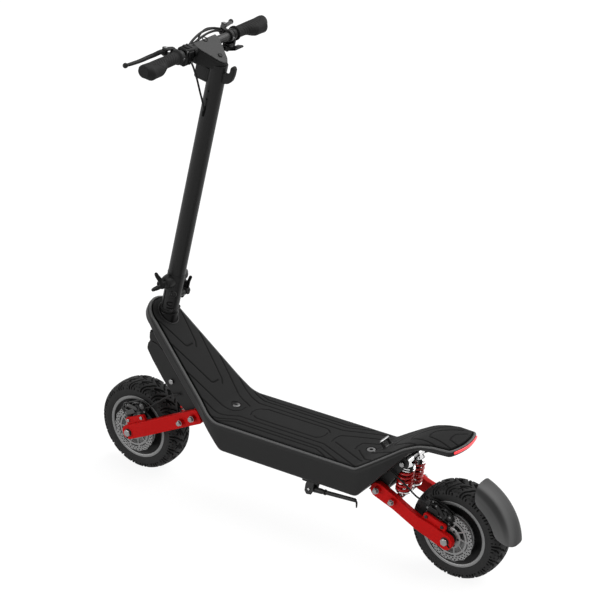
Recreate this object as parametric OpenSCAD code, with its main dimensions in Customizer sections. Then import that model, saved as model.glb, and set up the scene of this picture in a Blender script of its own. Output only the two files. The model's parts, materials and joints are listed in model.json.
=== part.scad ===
// Electric kick scooter with a folding stem and linked arms at both wheels.
// Millimetres, +X forward, +Y the rider's left, +Z up, ground at zero.

/* [Wheels] */
// Distance between the axles
wheelbase = 994; // [970:1:1020]
// Tyre outer radius
tyre_r = 127.5; // [124:0.5:131]
// Tyre width over the sidewalls
tyre_w = 80; // [74:1:86]
// Outer radius of the rim
rim_r = 90; // [87:1:93]
// Rim width over its edges
rim_w = 76; // [72:1:77]
// Brake disc radius
disc_r = 69; // [66:1:71]
// Brake disc thickness
disc_t = 2; // [1.5:0.1:2.6]
// Distance of the disc from the middle plane
disc_y = 48; // [47:0.5:49]
// Axle radius
axle_r = 6; // [5:0.5:7]
// Fender outer radius
fender_r = 165.5; // [155:0.5:172]

/* [Deck] */
// Height of the deck rim
deck_top = 263; // [255:1:270]
// Depth of the deck tub
deck_d = 81; // [76:1:84]
// Width of the deck
deck_w = 208; // [196:1:216]
// Width of the rim round the mat
edge_w = 9; // [6:0.5:12]
// Depth of the bed for the mat
bed_d = 5; // [4:0.5:6]
// Height of the tail above the deck
tail_rise = 108; // [98:1:114]
// Thickness of the neck
neck_t = 34; // [30:1:35]
// Half width of the neck at its nose
nose_r = 54; // [50:1:57]

/* [Arms] */
// Half height of an arm
arm_r = 22; // [19:0.5:23]
// Thickness of an arm
arm_t = 16; // [13:0.5:18]
// Inner face of an arm at its pivot
arm_in = 53; // [52:0.5:55]
// Sideways step of an arm
arm_step = 9.5; // [8.5:0.5:12]
// Pivot bolt radius
pivot_r = 8; // [7:0.5:9]
// Shock bolt radius
eye_r = 5; // [4:0.5:5.5]
// Distance of a shock from the middle plane
shock_y = 25; // [23:0.5:26]
// Outer radius of a spring
spring_r = 18; // [16:0.5:19]
// Spring wire radius
wire_r = 3; // [2.5:0.1:3.2]

/* [Stem] */
// Tilt of the steering axis
rake = 14; // [12:0.5:16]
// Stem tube radius
stem_r = 23; // [21:0.5:25]
// Stem tube wall
stem_wall = 3; // [2:0.5:4]
// Steerer radius
steerer_r = 15; // [14:0.5:16]
// Length of the stem tube
stem_len = 616; // [596:1:630]

/* [Bar] */
// Half length of the bar with its grips
bar_half = 242.5; // [230:0.5:260]
// Bar radius
bar_r = 11; // [10:0.25:11.5]
// Grip radius
grip_r = 15.5; // [14:0.25:17]

/* [Hidden] */
$fn = 48;
gap = 0.5;
fit = 0.05;

centre_x = (wheelbase + tyre_r - fender_r) / 2;
rear_axle = [0, tyre_r];
front_axle = [wheelbase, tyre_r];
rear_pivot = [203, 204];
rear_low = [158, 185];
rear_high = [142, 287];
front_pivot = [wheelbase - 215, 232];
front_low = [wheelbase - 175, 208];
front_high = [wheelbase - 134, 309];
rear_tab = [[59, 175], [13, 160]];
front_tab = [[wheelbase + 4, 159.5], [wheelbase - 41, 180.5]];
arm_out = arm_in + arm_t;
cheek_out = arm_in - gap;
cheek_in = cheek_out - 6;
end_in = arm_in + arm_step;
end_out = end_in + arm_t;
boss_out = arm_out + 9;
head_out = boss_out + 9.5;

deck_low = deck_top - deck_d;
deck_half = deck_w / 2;
bend_x = wheelbase - 291;
tail_foot = 254;
tail_crest = 91;
tail_fall = atan(tail_rise / (tail_foot - tail_crest));
nose_run = 210;
nose = [bend_x + nose_run, deck_top + nose_run];
tail_arc = 158;
tail_hub = 142;
bay = [300, bend_x - 53];
port_spot = [bend_x - 103, deck_low + 40];
bay_half = deck_half - 16;
lid_t = 3;
bed_z = deck_top - bed_d;
lid_z = bed_z - lid_t;
mat_proud = 1;
screw_x = [268, bend_x - 12];
screw_r = 8.5;

tube_top = 369.5;
boss_low = 285;
ring_h = 11;
ring_r = 20.5;
head_join = 486;
fold_spot = [-17, 381.8];
knuckle_r = 7;
clamp_spot = [6, head_join - 20];
clamp_r = 4;
barrel_r = 19;
barrel_y = 44;
lock_spot = [-10, (fold_spot.y + head_join) / 2 - 17.9];
tongue_y = 10;
head_top = head_join + stem_len;
bar_spot = [51, head_top + 25];
panel_tilt = 22;
panel_spot = [54, head_top + 41.6];
panel_t = 2.6;

// a polyline of [x, z, radius] with its corners rounded
function unit(v) = v / norm(v);
function flat(p) = [p.x, p.y];
function corner(a, b, c, r) =
  let (u = unit(a - b), v = unit(c - b), half = acos(u * v) / 2, m = b + unit(u + v) * r / sin(half))
  let (s = b + u * r / tan(half) - m, e = b + v * r / tan(half) - m, n = max(2, round((90 - half) / 4)))
  [for (i = [0:n]) m + r * unit(s * (n - i) + e * i)];
function rounded(p) = [for (i = [0:len(p) - 1])
  each (i == 0 || i == len(p) - 1 || len(p[i]) < 3) ? [flat(p[i])]
    : corner(flat(p[i - 1]), flat(p[i]), flat(p[i + 1]), p[i].z)];
function reverse(p) = [for (i = [len(p) - 1:-1:0]) p[i]];
function mirrored(p) = concat(p, [for (q = reverse(p)) [q.x, -q.y]]);

// a smooth curve through points, and a round skin swept along a path
function blend(a, b, c, d, t) =
  0.5 * ((2 * b) + (c - a) * t + (2 * a - 5 * b + 4 * c - d) * t * t + (3 * b - a - 3 * c + d) * t * t * t);
function smooth(p, k) = let (n = len(p) - 1) concat([for (i = [0:n - 1], j = [0:k - 1])
  blend(p[max(i - 1, 0)], p[i], p[i + 1], p[min(i + 2, n)], j / k)], [p[n]]);
function along(p, i) = unit(p[min(i + 1, len(p) - 1)] - p[max(i - 1, 0)]);
function ring(c, t, r, s, ref) = let (u = unit(cross(t, ref)), v = cross(u, t))
  [for (j = [0:s - 1]) c + r * (u * cos(360 * j / s) + v * sin(360 * j / s))];
module sweep(p, r, s, ref) {
  n = len(p) - 1;
  skin = [for (i = [0:n]) each ring(p[i], along(p, i), r, s, ref)];
  sides = [for (i = [0:n - 1], j = [0:s - 1]) let (k = (j + 1) % s, a = i * s, b = a + s)
    each [[a + j, a + k, b + k], [a + j, b + k, b + j]]];
  ends = [for (j = [1:s - 2]) each [[0, j + 1, j], [n * s, n * s + j, n * s + j + 1]]];
  polyhedron(skin, concat(sides, ends));
}

module base() translate([-centre_x, 0, 0]) children();
module pair() {
  children();
  mirror([0, 1, 0]) children();
}
module side(y0, y1) translate([0, y1, 0]) rotate([90, 0, 0]) linear_extrude(y1 - y0) children();
module rod(p, r, y0, y1) translate([p.x, y0, p.y]) rotate([-90, 0, 0]) cylinder(r = r, h = y1 - y0);
module hex(p, r, y0, y1) translate([p.x, y0, p.y]) rotate([-90, 0, 0])
  cylinder(r = r, h = y1 - y0, $fn = 6);
module wheel(x) translate([x, 0, tyre_r]) rotate([-90, 0, 0]) children();
module steer() translate([wheelbase, 0, tyre_r]) rotate([0, -rake, 0]) children();
module post(r, h0, h1) translate([0, 0, h0]) cylinder(r = r, h = h1 - h0);

// the deck's side view and plan, each shrunk or lowered by an offset
function top_line(o) = rounded([
  [-60, deck_top + tail_rise - o], [tail_crest - 0.3 * o, deck_top + tail_rise - o, 200],
  [tail_foot - 0.3 * o, deck_top - o, 40], [bend_x + 0.414 * o, deck_top - o, 60],
  [nose.x + 0.707 * o, nose.y - 0.707 * o]]);
function low_line() = let (d = neck_t * 0.7071) rounded([
  [-60, deck_top + tail_rise - 16], [95, deck_top + tail_rise - 19, 60], [248, deck_low, 25],
  [bend_x - deck_top + 2 * d + deck_low, deck_low, 20], [nose.x + d, nose.y - d]]);
function plan(o) = mirrored([
  [-60, 62 - o], [5, 64 - o], [50, 68 - o], [90, 70 - o], [132, 78 - o], [172, 91 - o],
  [212, deck_half - 4 - o], [250, deck_half - o], [bend_x - 20, deck_half - o],
  [bend_x + 8, deck_half - 6 - o],
  [bend_x + 38, deck_half - 15.5 - o], [nose.x + 1, nose_r + 1.6 - o], [nose.x + 25, nose_r - 8 - o]]);
module plan_block(o) linear_extrude(700) polygon(plan(o));
module tail_round(r) translate([tail_hub, 0, 0]) cylinder(r = r, h = 700, $fn = 96);
module tail_cut(r) intersection() {
  union() {
    tail_round(r);
    translate([tail_hub, -300, 0]) cube([wheelbase, 600, 700]);
  }
  children();
}
module nose_disc(o, n0, n1, taper = 0) translate([nose.x, 0, nose.y]) rotate([0, -45, 0])
  rotate([180, 0, 0]) translate([0, 0, n0]) cylinder(r1 = nose_r - o, r2 = nose_r - o - taper, h = n1 - n0);
module bore(r) steer() post(r, 200, 420);

module deck_shell() color([0.06, 0.06, 0.07]) base() difference() {
  union() {
    tail_cut(tail_arc - 4) intersection() {
      side(-200, 200) polygon(concat(top_line(0), reverse(low_line())));
      plan_block(0);
    }
    nose_disc(0, 0, neck_t, 8);
    steer() post(stem_r + 0.5, 300, tube_top);
    steer() post(34, boss_low, 318);
  }
  difference() {
    union() {
      tail_cut(tail_arc - 4 - edge_w) intersection() {
        side(-200, 200) polygon(concat(top_line(bed_d), reverse(top_line(-40))));
        plan_block(edge_w);
      }
      nose_disc(edge_w, -60, bed_d);
    }
    steer() post(stem_r + 0.5, 300, tube_top);
  }
  translate([bay[0], -bay_half, deck_low + 6]) cube([bay[1] - bay[0], 2 * bay_half, 100]);
  translate([bay[0] - 7, -bay_half - 4, lid_z]) cube([bay[1] - bay[0] + 14, 2 * bay_half + 8, 50]);
  bore(steerer_r + 2.5);
  pair() rod(rear_pivot, arm_r + 5, cheek_out - 1, arm_out + 1.5);
  rod(rear_high, eye_r + 6.5, -shock_y - 14, shock_y + 14);
  steer() post(ring_r, boss_low - 1, boss_low + ring_h);
  steer() post(ring_r, tube_top - ring_h, tube_top + 1);
  rod(port_spot, 9, -deck_half - 16, -bay_half + 1);
  for (x = screw_x) translate([x, 0, bed_z - 12]) cylinder(r = 2.5, h = 20);
  for (x = screw_x) translate([x, 0, bed_z]) cylinder(r = screw_r + fit, h = 20);
}

module deck_lid() color([0.2, 0.2, 0.22]) base()
  translate([bay[0] - 6.7, -bay_half - 3.7, lid_z])
  cube([bay[1] - bay[0] + 13.4, 2 * bay_half + 7.4, lid_t]);

module deck_mat() color([0.1, 0.1, 0.11]) base() difference() {
  union() {
    tail_cut(tail_arc - 4 - edge_w - gap) intersection() {
      side(-200, 200) polygon(concat(top_line(bed_d), reverse(top_line(-mat_proud))));
      plan_block(edge_w + gap);
    }
    nose_disc(edge_w + gap, -mat_proud, bed_d);
  }
  bore(stem_r + 4);
  steer() post(stem_r + 4, 300, 600);
  for (x = screw_x) translate([x, 0, bed_z - 2]) cylinder(r = screw_r + fit, h = 20);
}

module mat_screw(x) {
  translate([x, 0, bed_z]) cylinder(r = screw_r, h = bed_d + mat_proud);
  translate([x, 0, bed_z - 10]) cylinder(r = 2.5 - fit, h = 11);
}
module deck_fasteners() color([0.5, 0.5, 0.52]) base() {
  for (x = screw_x) mat_screw(x);
  cross_bolt(rear_high);
}
module cross_bolt(p) {
  rod(p, eye_r, -cheek_out - 1, cheek_out + 1);
  pair() hex(p, eye_r + 3, cheek_out, cheek_out + 7);
}

module battery_pack() color([0.2, 0.25, 0.45]) base()
  translate([bay[0] + 6, -bay_half + 8, deck_low + 6])
  cube([bay[1] - bay[0] - 100, 2 * bay_half - 16, lid_z - deck_low - 10]);
module controller() color([0.5, 0.5, 0.52]) base() difference() {
  translate([bay[1] - 82, -60, deck_low + 6]) cube([70, 120, 34]);
  for (i = [0:5]) translate([bay[1] - 76 + 11 * i, -70, deck_low + 34]) cube([5, 140, 10]);
}
module charge_port() color([0.05, 0.05, 0.05]) base() difference() {
  union() {
    rod(port_spot, 9 - fit, -deck_half, -bay_half);
    rod(port_spot, 12, -deck_half - 2, -deck_half);
  }
  rod(port_spot, 5, -deck_half - 3, -deck_half + 9);
}
module headset_bearings() color([0.7, 0.7, 0.72]) base() steer() {
  for (h = [boss_low, tube_top - ring_h]) difference() {
    post(ring_r - fit, h, h + ring_h);
    post(steerer_r + fit, h - 1, h + ring_h + 1);
  }
}

module rear_bracket() color([0.05, 0.05, 0.06]) base() {
  slope = (deck_top + tail_rise - 19 - deck_low) / 153;
  d = [-1, slope] / norm([1, slope]);
  foot = [232, deck_low + 16 * slope];
  crest = foot + 140 * d;
  n = [-d.y, d.x];
  difference() {
    union() {
      pair() side(cheek_in, cheek_out) polygon([foot, crest, crest + 16 * n, rear_high + [-14, -6],
        rear_high + [0, -14], [181, 216], rear_pivot + [-17, -8], rear_pivot + [-6, -18],
        rear_pivot + [14, -17], foot + [8, -14]]);
      side(-cheek_in - 2, cheek_in + 2) polygon([foot + 2 * d + n, foot + 60 * d + n,
        foot + 60 * d + 11 * n, foot + 2 * d + 11 * n]);
      rod(rear_pivot, 15, -cheek_in - 3, cheek_in + 3);
    }
    rod(rear_pivot, pivot_r + fit, -80, 80);
    rod(rear_high, eye_r + fit, -80, 80);
  }
}

module tail_light() color([0.7, 0.04, 0.04]) base() intersection() {
  translate([0, 0, deck_top + tail_rise - 13]) difference() {
    translate([tail_hub, 0, 0]) cylinder(r = tail_arc, h = 10, $fn = 96);
    translate([tail_hub, 0, -1]) cylinder(r = tail_arc - 4, h = 12, $fn = 96);
  }
  translate([-60, -52, 0]) cube([100, 104, 500]);
}

module fold_catch() color([0.05, 0.05, 0.06]) base()
  translate([218, 0, deck_top + (tail_foot - 218) * tan(tail_fall)]) rotate([0, tail_fall, 0])
  translate([0, 0, mat_proud]) {
    translate([-7, -18, 0]) cube([14, 36, 4]);
    pair() translate([-3.5, 11, 0]) cube([7, 5, 20]);
    rotate([-90, 0, 0]) translate([0, -21, -16]) cylinder(r = 4, h = 32);
  }

stand_spot = [387, 90, deck_low - 24];
module stand_frame() translate(stand_spot) rotate([15, 0, 0]) children();
module kickstand_bracket() color([0.12, 0.12, 0.13]) base() {
  difference() {
    union() {
      stand_frame() translate([-13, -14, -10]) cube([26, 16, 21]);
      translate([stand_spot.x - 12, 73, stand_spot.z + 1]) cube([24, 10, 21]);
      translate([stand_spot.x - 26, 70, deck_low - 5]) cube([52, 30, 5]);
    }
    stand_frame() rotate([-90, 0, 0]) cylinder(r = 4.5, h = 60, center = true);
    stand_frame() translate([-30, -0.5, -40]) cube([60, 30, 54]);
  }
  stand_frame() rotate([-90, 0, 0]) rotate_extrude()
    polygon([[0, -13], [4, -13], [4, 9.5], [6.5, 9.5], [6.5, 13], [0, 13]]);
}
module strut(a, b, r) translate(a) rotate([0, acos((b.z - a.z) / norm(b - a)), atan2(b.y - a.y, b.x - a.x)])
  cylinder(r = r, h = norm(b - a));
module kickstand() color([0.1, 0.1, 0.11]) base() stand_frame() difference() {
  union() {
    rod([0, 0], 10, 0, 9);
    strut([-7.6, 5.6, 0.2], [-130, 5.6, 8], 5.5);
    translate([-130, 5.6, 8]) sphere(r = 6.4);
    strut([-130, 5.6, 8], [-146, 5.6, -6], 5.8);
    translate([-146, 5.6, -6]) sphere(r = 7);
  }
  rod([0, 0], 4.3, -1, 20);
}

module fork() color([0.06, 0.06, 0.07]) base() difference() {
  union() {
    steer() {
      post(steerer_r, 262, 373.5);
      post(34, 234, 277);
      translate([-28, -cheek_out, 234]) cube([36, 2 * cheek_out, 34]);
    }
    pair() side(cheek_in, cheek_out) polygon([
      [front_axle.x - 57, 386], [front_axle.x - 69, 353], [front_axle.x - 104, 304],
      [front_axle.x - 137, 267], [front_axle.x - 155, 248], front_pivot + [11, -19],
      front_pivot + [-3, -22], front_pivot + [-17, -14], front_pivot + [-22, 0],
      front_pivot + [-15.5, 15.5], [front_axle.x - 93, 382]]);
    rod(front_pivot, 17, -cheek_in - 1, cheek_in + 1);
    side(-cheek_in - 2, cheek_in + 2) polygon([
      front_pivot + [-4.5, 24.2], [front_axle.x - 93.4, 379.5], [front_axle.x - 89.9, 375.9],
      front_pivot + [-1, 20.6]]);
  }
  steer() post(steerer_r - 4, 200, 400);
  rod(front_pivot, pivot_r + fit, -80, 80);
  rod(front_high, eye_r + fit, -80, 80);
  rod([front_axle.x - 162, 280], 5.5, 0, 80);
}
module fork_bolts() color([0.5, 0.5, 0.52]) base() {
  cross_bolt(front_high);
  steer() {
    rod(fold_spot, 4, -22, 22);
    pair() rod(fold_spot, 6, 20.5, 23);
  }
}

module hinge_base() color([0.07, 0.07, 0.08]) base() steer() difference() {
  union() {
    difference() {
      post(stem_r + 1, 371, 379);
      translate([-40, -12.4, 373.5]) cube([31, 24.8, 20]);
    }
    pair() rod(fold_spot, knuckle_r, 12.4, 20);
    translate([-6, -tongue_y, 378]) cube([22, 2 * tongue_y, head_join - 384]);
  }
  post(steerer_r + fit, 360, 373.5);
  rod(fold_spot, 4 + fit, -30, 30);
  translate([-20, -20, clamp_spot.y - clamp_r - 1])
    cube([20 + clamp_spot.x + clamp_r + 1, 40, 2 * clamp_r + 5]);
}
module hinge_head() color([0.06, 0.06, 0.07]) base() steer() difference() {
  union() {
    difference() {
      post(stem_r + 0.5, 380, head_join);
      translate([-40, -40, 370]) cube([30.5, 80, 20.5]);
    }
    rod(fold_spot, knuckle_r, -12, 12);
    translate([-23, -12, 382]) cube([12, 24, 12]);
    rod(clamp_spot - [2, 0], barrel_r, -barrel_y, barrel_y);
    rod(lock_spot, 8, -38, 0);
    post(stem_r - stem_wall - fit, head_join - 1, head_join + 34);
  }
  translate([-8, -tongue_y - gap, 340]) cube([60, 2 * tongue_y + 1, head_join - 344]);
  rod(fold_spot, 4 + fit, -30, 30);
  rod(clamp_spot, clamp_r + fit, -60, 60);
  rod(lock_spot, 3 + fit, -60, -12);
}
module fold_lever() color([0.08, 0.08, 0.09]) base() steer() {
  rod(clamp_spot, clamp_r, -barrel_y - 9, barrel_y + 10);
  rod(clamp_spot, 12, barrel_y + gap, barrel_y + 14);
  rod(clamp_spot, 8, -barrel_y - 9, -barrel_y - gap);
  for (s = [-1, 1]) hull() {
    rod(clamp_spot, 7, barrel_y + 5, barrel_y + 13, $fn = 24);
    rod(clamp_spot + [7, 26 * s], 5.5, barrel_y + 9, barrel_y + 18, $fn = 24);
  }
}
module lock_lever() color([0.08, 0.08, 0.09]) base() steer() {
  rod(lock_spot, 3, -46, -13);
  hex(lock_spot, 10, -52, -38 - gap);
  hull() {
    rod(lock_spot + [0, 3], 5, -52, -47, $fn = 24);
    rod(lock_spot + [-4, 44], 4, -52, -47, $fn = 24);
  }
}
module stem_tube() color([0.06, 0.06, 0.07]) base() steer() difference() {
  post(stem_r, head_join, head_top);
  post(stem_r - stem_wall, head_join - 1, head_top + 1);
  rod([2, head_top - 125], 5, 10, 40);
}

function head_plan(o) = mirrored([[-19 + o, 9], [-16 + o, 14], [-8 + o, 20 - o], [30, 40 - o],
  [44, 45 - o], [72, 45 - o]]);
module panel_frame() translate([panel_spot.x, 0, panel_spot.y]) rotate([0, -panel_tilt, 0]) children();
module stem_head() color([0.05, 0.05, 0.06]) base() steer() difference() {
  union() {
    intersection() {
      translate([0, 0, head_top - 50]) linear_extrude(150) polygon(head_plan(1));
      side(-60, 60) polygon([[-30, head_top - 14], [-30, head_top + 2], [52, head_top + 35],
        [52, head_top - 10]]);
    }
    rod(bar_spot, bar_r + 5, -45, 45);
    post(stem_r - stem_wall - fit, head_top - 30, head_top);
  }
  rod(bar_spot, bar_r + fit, -80, 80);
  difference() {
    post(60, head_top - 50, head_top);
    post(stem_r - stem_wall - fit, head_top - 50, head_top);
    rod(bar_spot, bar_r + 5, -45, 45);
  }
  panel_frame() translate([-120, -60, -4]) cube([160, 120, 40]);
  panel_frame() translate([-56, 0, -20]) cylinder(r = 4.3, h = 40);
}
module head_panel() color([0.25, 0.25, 0.27]) base() steer() difference() {
  panel_frame() translate([0, 0, -panel_t]) linear_extrude(panel_t)
    polygon(mirrored([[-79, 6], [-76, 11], [-70, 15], [-24, 39], [-8, 44.5], [8, 44.5], [10, 42]]));
  panel_frame() translate([-56, 0, -20]) cylinder(r = 6 + gap, h = 40);
}
module power_button() color([0.1, 0.1, 0.1]) base() steer() panel_frame() {
  translate([-56, 0, -1.4]) cylinder(r = 6, h = 2.6);
  translate([-56, 0, -10]) cylinder(r = 4, h = 9);
}
module head_frame() steer() translate([0, 0, head_top]) children();
module headlight() color([0.08, 0.08, 0.09]) base() head_frame() {
  difference() {
    translate([10, -25, -66]) cube([48, 50, 54]);
    post(stem_r, -90, 20);
    translate([50, -21, -61]) cube([20, 42, 44]);
  }
  translate([50, -20.8, -60.8]) cube([7, 41.6, 43.6]);
}
module carry_hook() color([0.1, 0.1, 0.11]) base() head_frame() difference() {
  side(-7, 7) polygon([[-10, -44], [-26, -44], [-40, -39], [-48, -27], [-51, -12], [-51, 5],
    [-46, 12], [-41, 11], [-38, 4], [-38, -6], [-33, -15], [-26, -17], [-10, -16]]);
  post(stem_r, -90, 20);
}

module bar_frame() translate([bar_spot.x, 0, bar_spot.y]) children();
module sleeve(r, y0, y1) rod([0, 0], r, y0, y1);
module handlebar() color([0.3, 0.3, 0.32]) base() steer() bar_frame() difference() {
  sleeve(bar_r, -bar_half + 5, bar_half - 5);
  sleeve(bar_r - 2, -300, 300);
}
perch_left = 97;
perch_right = -104;
grip_left = 109;
grip_right = 120;
module grip(y0) rotate([-90, 0, 0]) rotate_extrude() polygon([[bar_r + fit, y0], [grip_r + 3.5, y0],
  [grip_r + 3.5, y0 + 4], [grip_r - 0.5, y0 + 9], [grip_r + 0.5, (y0 + bar_half) / 2],
  [grip_r, bar_half - 28], [grip_r + 2, bar_half - 12], [grip_r + 2, bar_half - 3],
  [grip_r, bar_half], [0, bar_half],
  [0, bar_half - 4.9], [bar_r + fit, bar_half - 4.9]]);
module grips() color([0.05, 0.05, 0.05]) base() steer() bar_frame() {
  grip(grip_left);
  mirror([0, 1, 0]) grip(grip_right);
}
lever_spot = [33, 119, 6];
module perch(y0) difference() {
  union() {
    sleeve(bar_r + 5, y0, y0 + 11);
    translate([6, y0, -5]) cube([18, 11, 14]);
    translate([20, y0, -5]) cube([7, 126 - y0, 4.5]);
    translate([20, y0, 9.5]) cube([7, 126 - y0, 4.5]);
    translate([16, y0, -5]) cube([11, 11, 19]);
    hull() {
      translate([27, 119, 9.5]) cylinder(r = 6, h = 4.5, $fn = 24);
      translate([lever_spot.x, lever_spot.y, 9.5]) cylinder(r = 8, h = 4.5, $fn = 24);
    }
    hull() {
      translate([27, 119, -5]) cylinder(r = 6, h = 4.5, $fn = 24);
      translate([lever_spot.x, lever_spot.y, -5]) cylinder(r = 8, h = 4.5, $fn = 24);
    }
  }
  sleeve(bar_r + fit, -300, 300);
  translate([lever_spot.x, lever_spot.y, -20]) cylinder(r = 3, h = 40);
}
module perch_pin() translate([lever_spot.x, lever_spot.y, -7]) {
  cylinder(r = 3 - fit, h = 22);
  translate([0, 0, 21]) cylinder(r = 4.5, h = 2);
}
module brake_perches() color([0.09, 0.09, 0.1]) base() steer() bar_frame() {
  perch(perch_left);
  perch_pin();
  mirror([0, 1, 0]) {
    perch(-perch_right - 11);
    perch_pin();
  }
}
module lever_bead(p, r) translate(p) sphere(r = r, $fn = 20);
module brake_lever() difference() {
  union() {
    translate([lever_spot.x, lever_spot.y, 0]) cylinder(r = 7.5, h = 9);
    hull() {
      translate([lever_spot.x + 2, lever_spot.y + 4, 0.5]) cylinder(r = 4, h = 8, $fn = 20);
      lever_bead([48, 150, 1.5], 4.5);
    }
    hull() {
      lever_bead([48, 150, 1.5], 4.5);
      lever_bead([60, 186, -8], 4.5);
    }
    hull() {
      lever_bead([60, 186, -8], 4.5);
      lever_bead([66, 205, -18], 4.5);
    }
    translate([74, 213, -26]) rotate([40, 25, 0]) sphere(r = 7, $fn = 20);
    hull() {
      lever_bead([66, 205, -18], 4.5);
      lever_bead([74, 213, -26], 4.5);
    }
  }
  translate([lever_spot.x, lever_spot.y, -20]) cylinder(r = 3, h = 40);
}
module brake_lever_left() color([0.08, 0.08, 0.09]) base() steer() bar_frame() brake_lever();
module brake_lever_right() color([0.08, 0.08, 0.09]) base() steer() bar_frame()
  mirror([0, 1, 0]) brake_lever();
module switch_box() color([0.07, 0.07, 0.08]) base() steer() bar_frame() difference() {
  union() {
    sleeve(bar_r + 6, 48, 60);
    translate([-14, 58, -27]) cube([30, 36, 46]);
  }
  sleeve(bar_r + fit, -300, 300);
  translate([-20, 76, -18]) rotate([0, 90, 0]) cylinder(r = 6, h = 17);
}
module horn_button() color([0.35, 0.05, 0.05]) base() steer() bar_frame()
  translate([-17, 76, -18]) rotate([0, 90, 0]) cylinder(r = 5.5, h = 11);
thumb_spot = [-3, -28];
module throttle_body() color([0.07, 0.07, 0.08]) base() steer() bar_frame() difference() {
  union() {
    sleeve(bar_r + 4, -118, -106);
    translate([-13, -118, -39]) cube([20, 12, 31]);
    translate([-13, -108, -39]) cube([20, 20, 21.5]);
  }
  sleeve(bar_r + fit, -300, 300);
  rod(thumb_spot, 3 + fit, -102, -80);
}
module throttle_paddle() color([0.08, 0.08, 0.09]) base() steer() bar_frame() {
  rod(thumb_spot, 3, -101, -82);
  rod(thumb_spot, 8, -87.5, -81);
  hull() {
    rod(thumb_spot, 6, -87.5, -81, $fn = 20);
    rod([-23, -23], 4, -87.5, -81, $fn = 20);
  }
  hull() {
    rod([-23, -23], 4, -104, -81, $fn = 20);
    rod([-38, -17], 3.5, -115, -81, $fn = 20);
  }
}
left_run = [[45, 72, -3], [37, 64, -16], [22, 50, -42], [13, 40, -74], [4, 31, -105], [2, 26, -122.5],
  [2, 22, -125]];
right_run = [[78.6, -98.5, 30], [82.5, -98, 30], [91, -86, 32], [98, -62, 32], [94, -34, 25],
  [80, -16, 16], [68, -10, 18]];
module bar_cables() color([0.04, 0.04, 0.04]) base() head_frame() {
  sweep(smooth(left_run, 4), 2.6, 8, [0, 1, 0]);
  sweep(smooth(right_run, 4), 2.6, 8, [0, 0, 1]);
}

module arm(p, a, low, drop) {
  u = unit(a - p);
  v = [-u.y, u.x];
  w = v * (arm_r - 0.4);
  b = p + v * drop;
  c = a + v * drop;
  s = a.x > p.x ? 1 : -1;
  x0 = p.x - s * 40;
  x1 = p.x + s * 55;
  x2 = p.x + s * 125;
  x3 = a.x + s * 40;
  difference() {
    union() {
      intersection() {
        union() {
          rod(b, arm_r, 0, 100);
          rod(c, arm_r, 0, 100);
          side(0, 100) polygon([b + w, c + w, c - w, b - w]);
        }
        linear_extrude(400) polygon([[x0, arm_in], [x1, arm_in], [x2, end_in], [x3, end_in],
          [x3, end_out], [x2, end_out], [x1, arm_out], [x0, arm_out]]);
      }
      for (q = [p, low]) rod(q, 12.5, arm_out - 1, boss_out);
    }
    rod(p, pivot_r + fit, 0, 120);
    rod(low, eye_r + fit, 0, 120);
    rod(a, axle_r + fit, 0, 120);
  }
}
module tab(b, a) difference() {
  union() {
    for (q = b) rod(q, 9, end_in, end_in + 7);
    side(end_in, end_in + 7) polygon([b[0], b[1], a + (b[1] - a) * 0.25, a + (b[0] - a) * 0.25]);
  }
  for (q = b) rod(q, 3 + fit, 0, 120);
}
module front_arm_left() color([0.65, 0.05, 0.05]) base() difference() {
  union() {
    arm(front_pivot, front_axle, front_low, 0);
    tab(front_tab, front_axle);
  }
  rod(front_axle, axle_r + fit, 0, 120);
}
module front_arm_right() color([0.65, 0.05, 0.05]) base() mirror([0, 1, 0])
  arm(front_pivot, front_axle, front_low, 0);
module rear_arm_left() color([0.65, 0.05, 0.05]) base() difference() {
  union() {
    arm(rear_pivot, rear_axle, rear_low, 4);
    tab(rear_tab, rear_axle);
  }
  rod(rear_axle, axle_r + fit, 0, 120);
}
module rear_arm_right() color([0.65, 0.05, 0.05]) base() mirror([0, 1, 0])
  arm(rear_pivot, rear_axle, rear_low, 4);
module through_bolt(p, r, face) {
  rod(p, r, -face - 1, face + 1);
  pair() hex(p, r + 4.5, face, face + 9);
}
module bolts(p, a, low, b) {
  through_bolt(p, pivot_r, boss_out);
  through_bolt(low, eye_r, boss_out);
  through_bolt(a, axle_r, end_out);
  for (q = b) {
    rod(q, 3, 52, end_in + 8);
    rod(q, 5.5, end_in + 7, end_in + 12);
  }
}
module front_bolts() color([0.5, 0.5, 0.52]) base() bolts(front_pivot, front_axle, front_low, front_tab);
module rear_bolts() color([0.5, 0.5, 0.52]) base() bolts(rear_pivot, rear_axle, rear_low, rear_tab);

module caliper(b, a) {
  mid = (b[0] + b[1]) / 2;
  turn = atan2(b[0].y - b[1].y, b[0].x - b[1].x);
  half = norm(b[0] - b[1]) / 2;
  difference() {
    translate([mid.x, 0, mid.y]) rotate([0, -turn, 0]) {
      side(40, 61) polygon([[-32, 8], [-32, 30], [-22, 41], [22, 41], [32, 30], [32, 8]]);
      pair_x(half) side(53, end_in) polygon([[-9, -7], [9, -7], [9, 12], [-9, 12]]);
      rod([-12, 25], 11, 60, 66);
    }
    rod(a, disc_r + 3, disc_y - disc_t / 2 - 1.5, disc_y + disc_t / 2 + 1.5);
    for (q = b) rod(q, 3 + fit, 0, 120);
  }
}
module pair_x(d) {
  translate([d, 0, 0]) children();
  translate([-d, 0, 0]) children();
}
module front_caliper() color([0.15, 0.15, 0.16]) base() caliper(front_tab, front_axle);
module rear_caliper() color([0.15, 0.15, 0.16]) base() caliper(rear_tab, rear_axle);
front_run = [[front_axle.x - 162, 49, 280], [front_axle.x - 155, 56, 279], [front_axle.x - 126, 58, 264],
  [front_axle.x - 91, 57.5, 238], [front_axle.x - 60, 57, 213], [front_axle.x - 39.3, 54.2, 203.6]];
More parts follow.
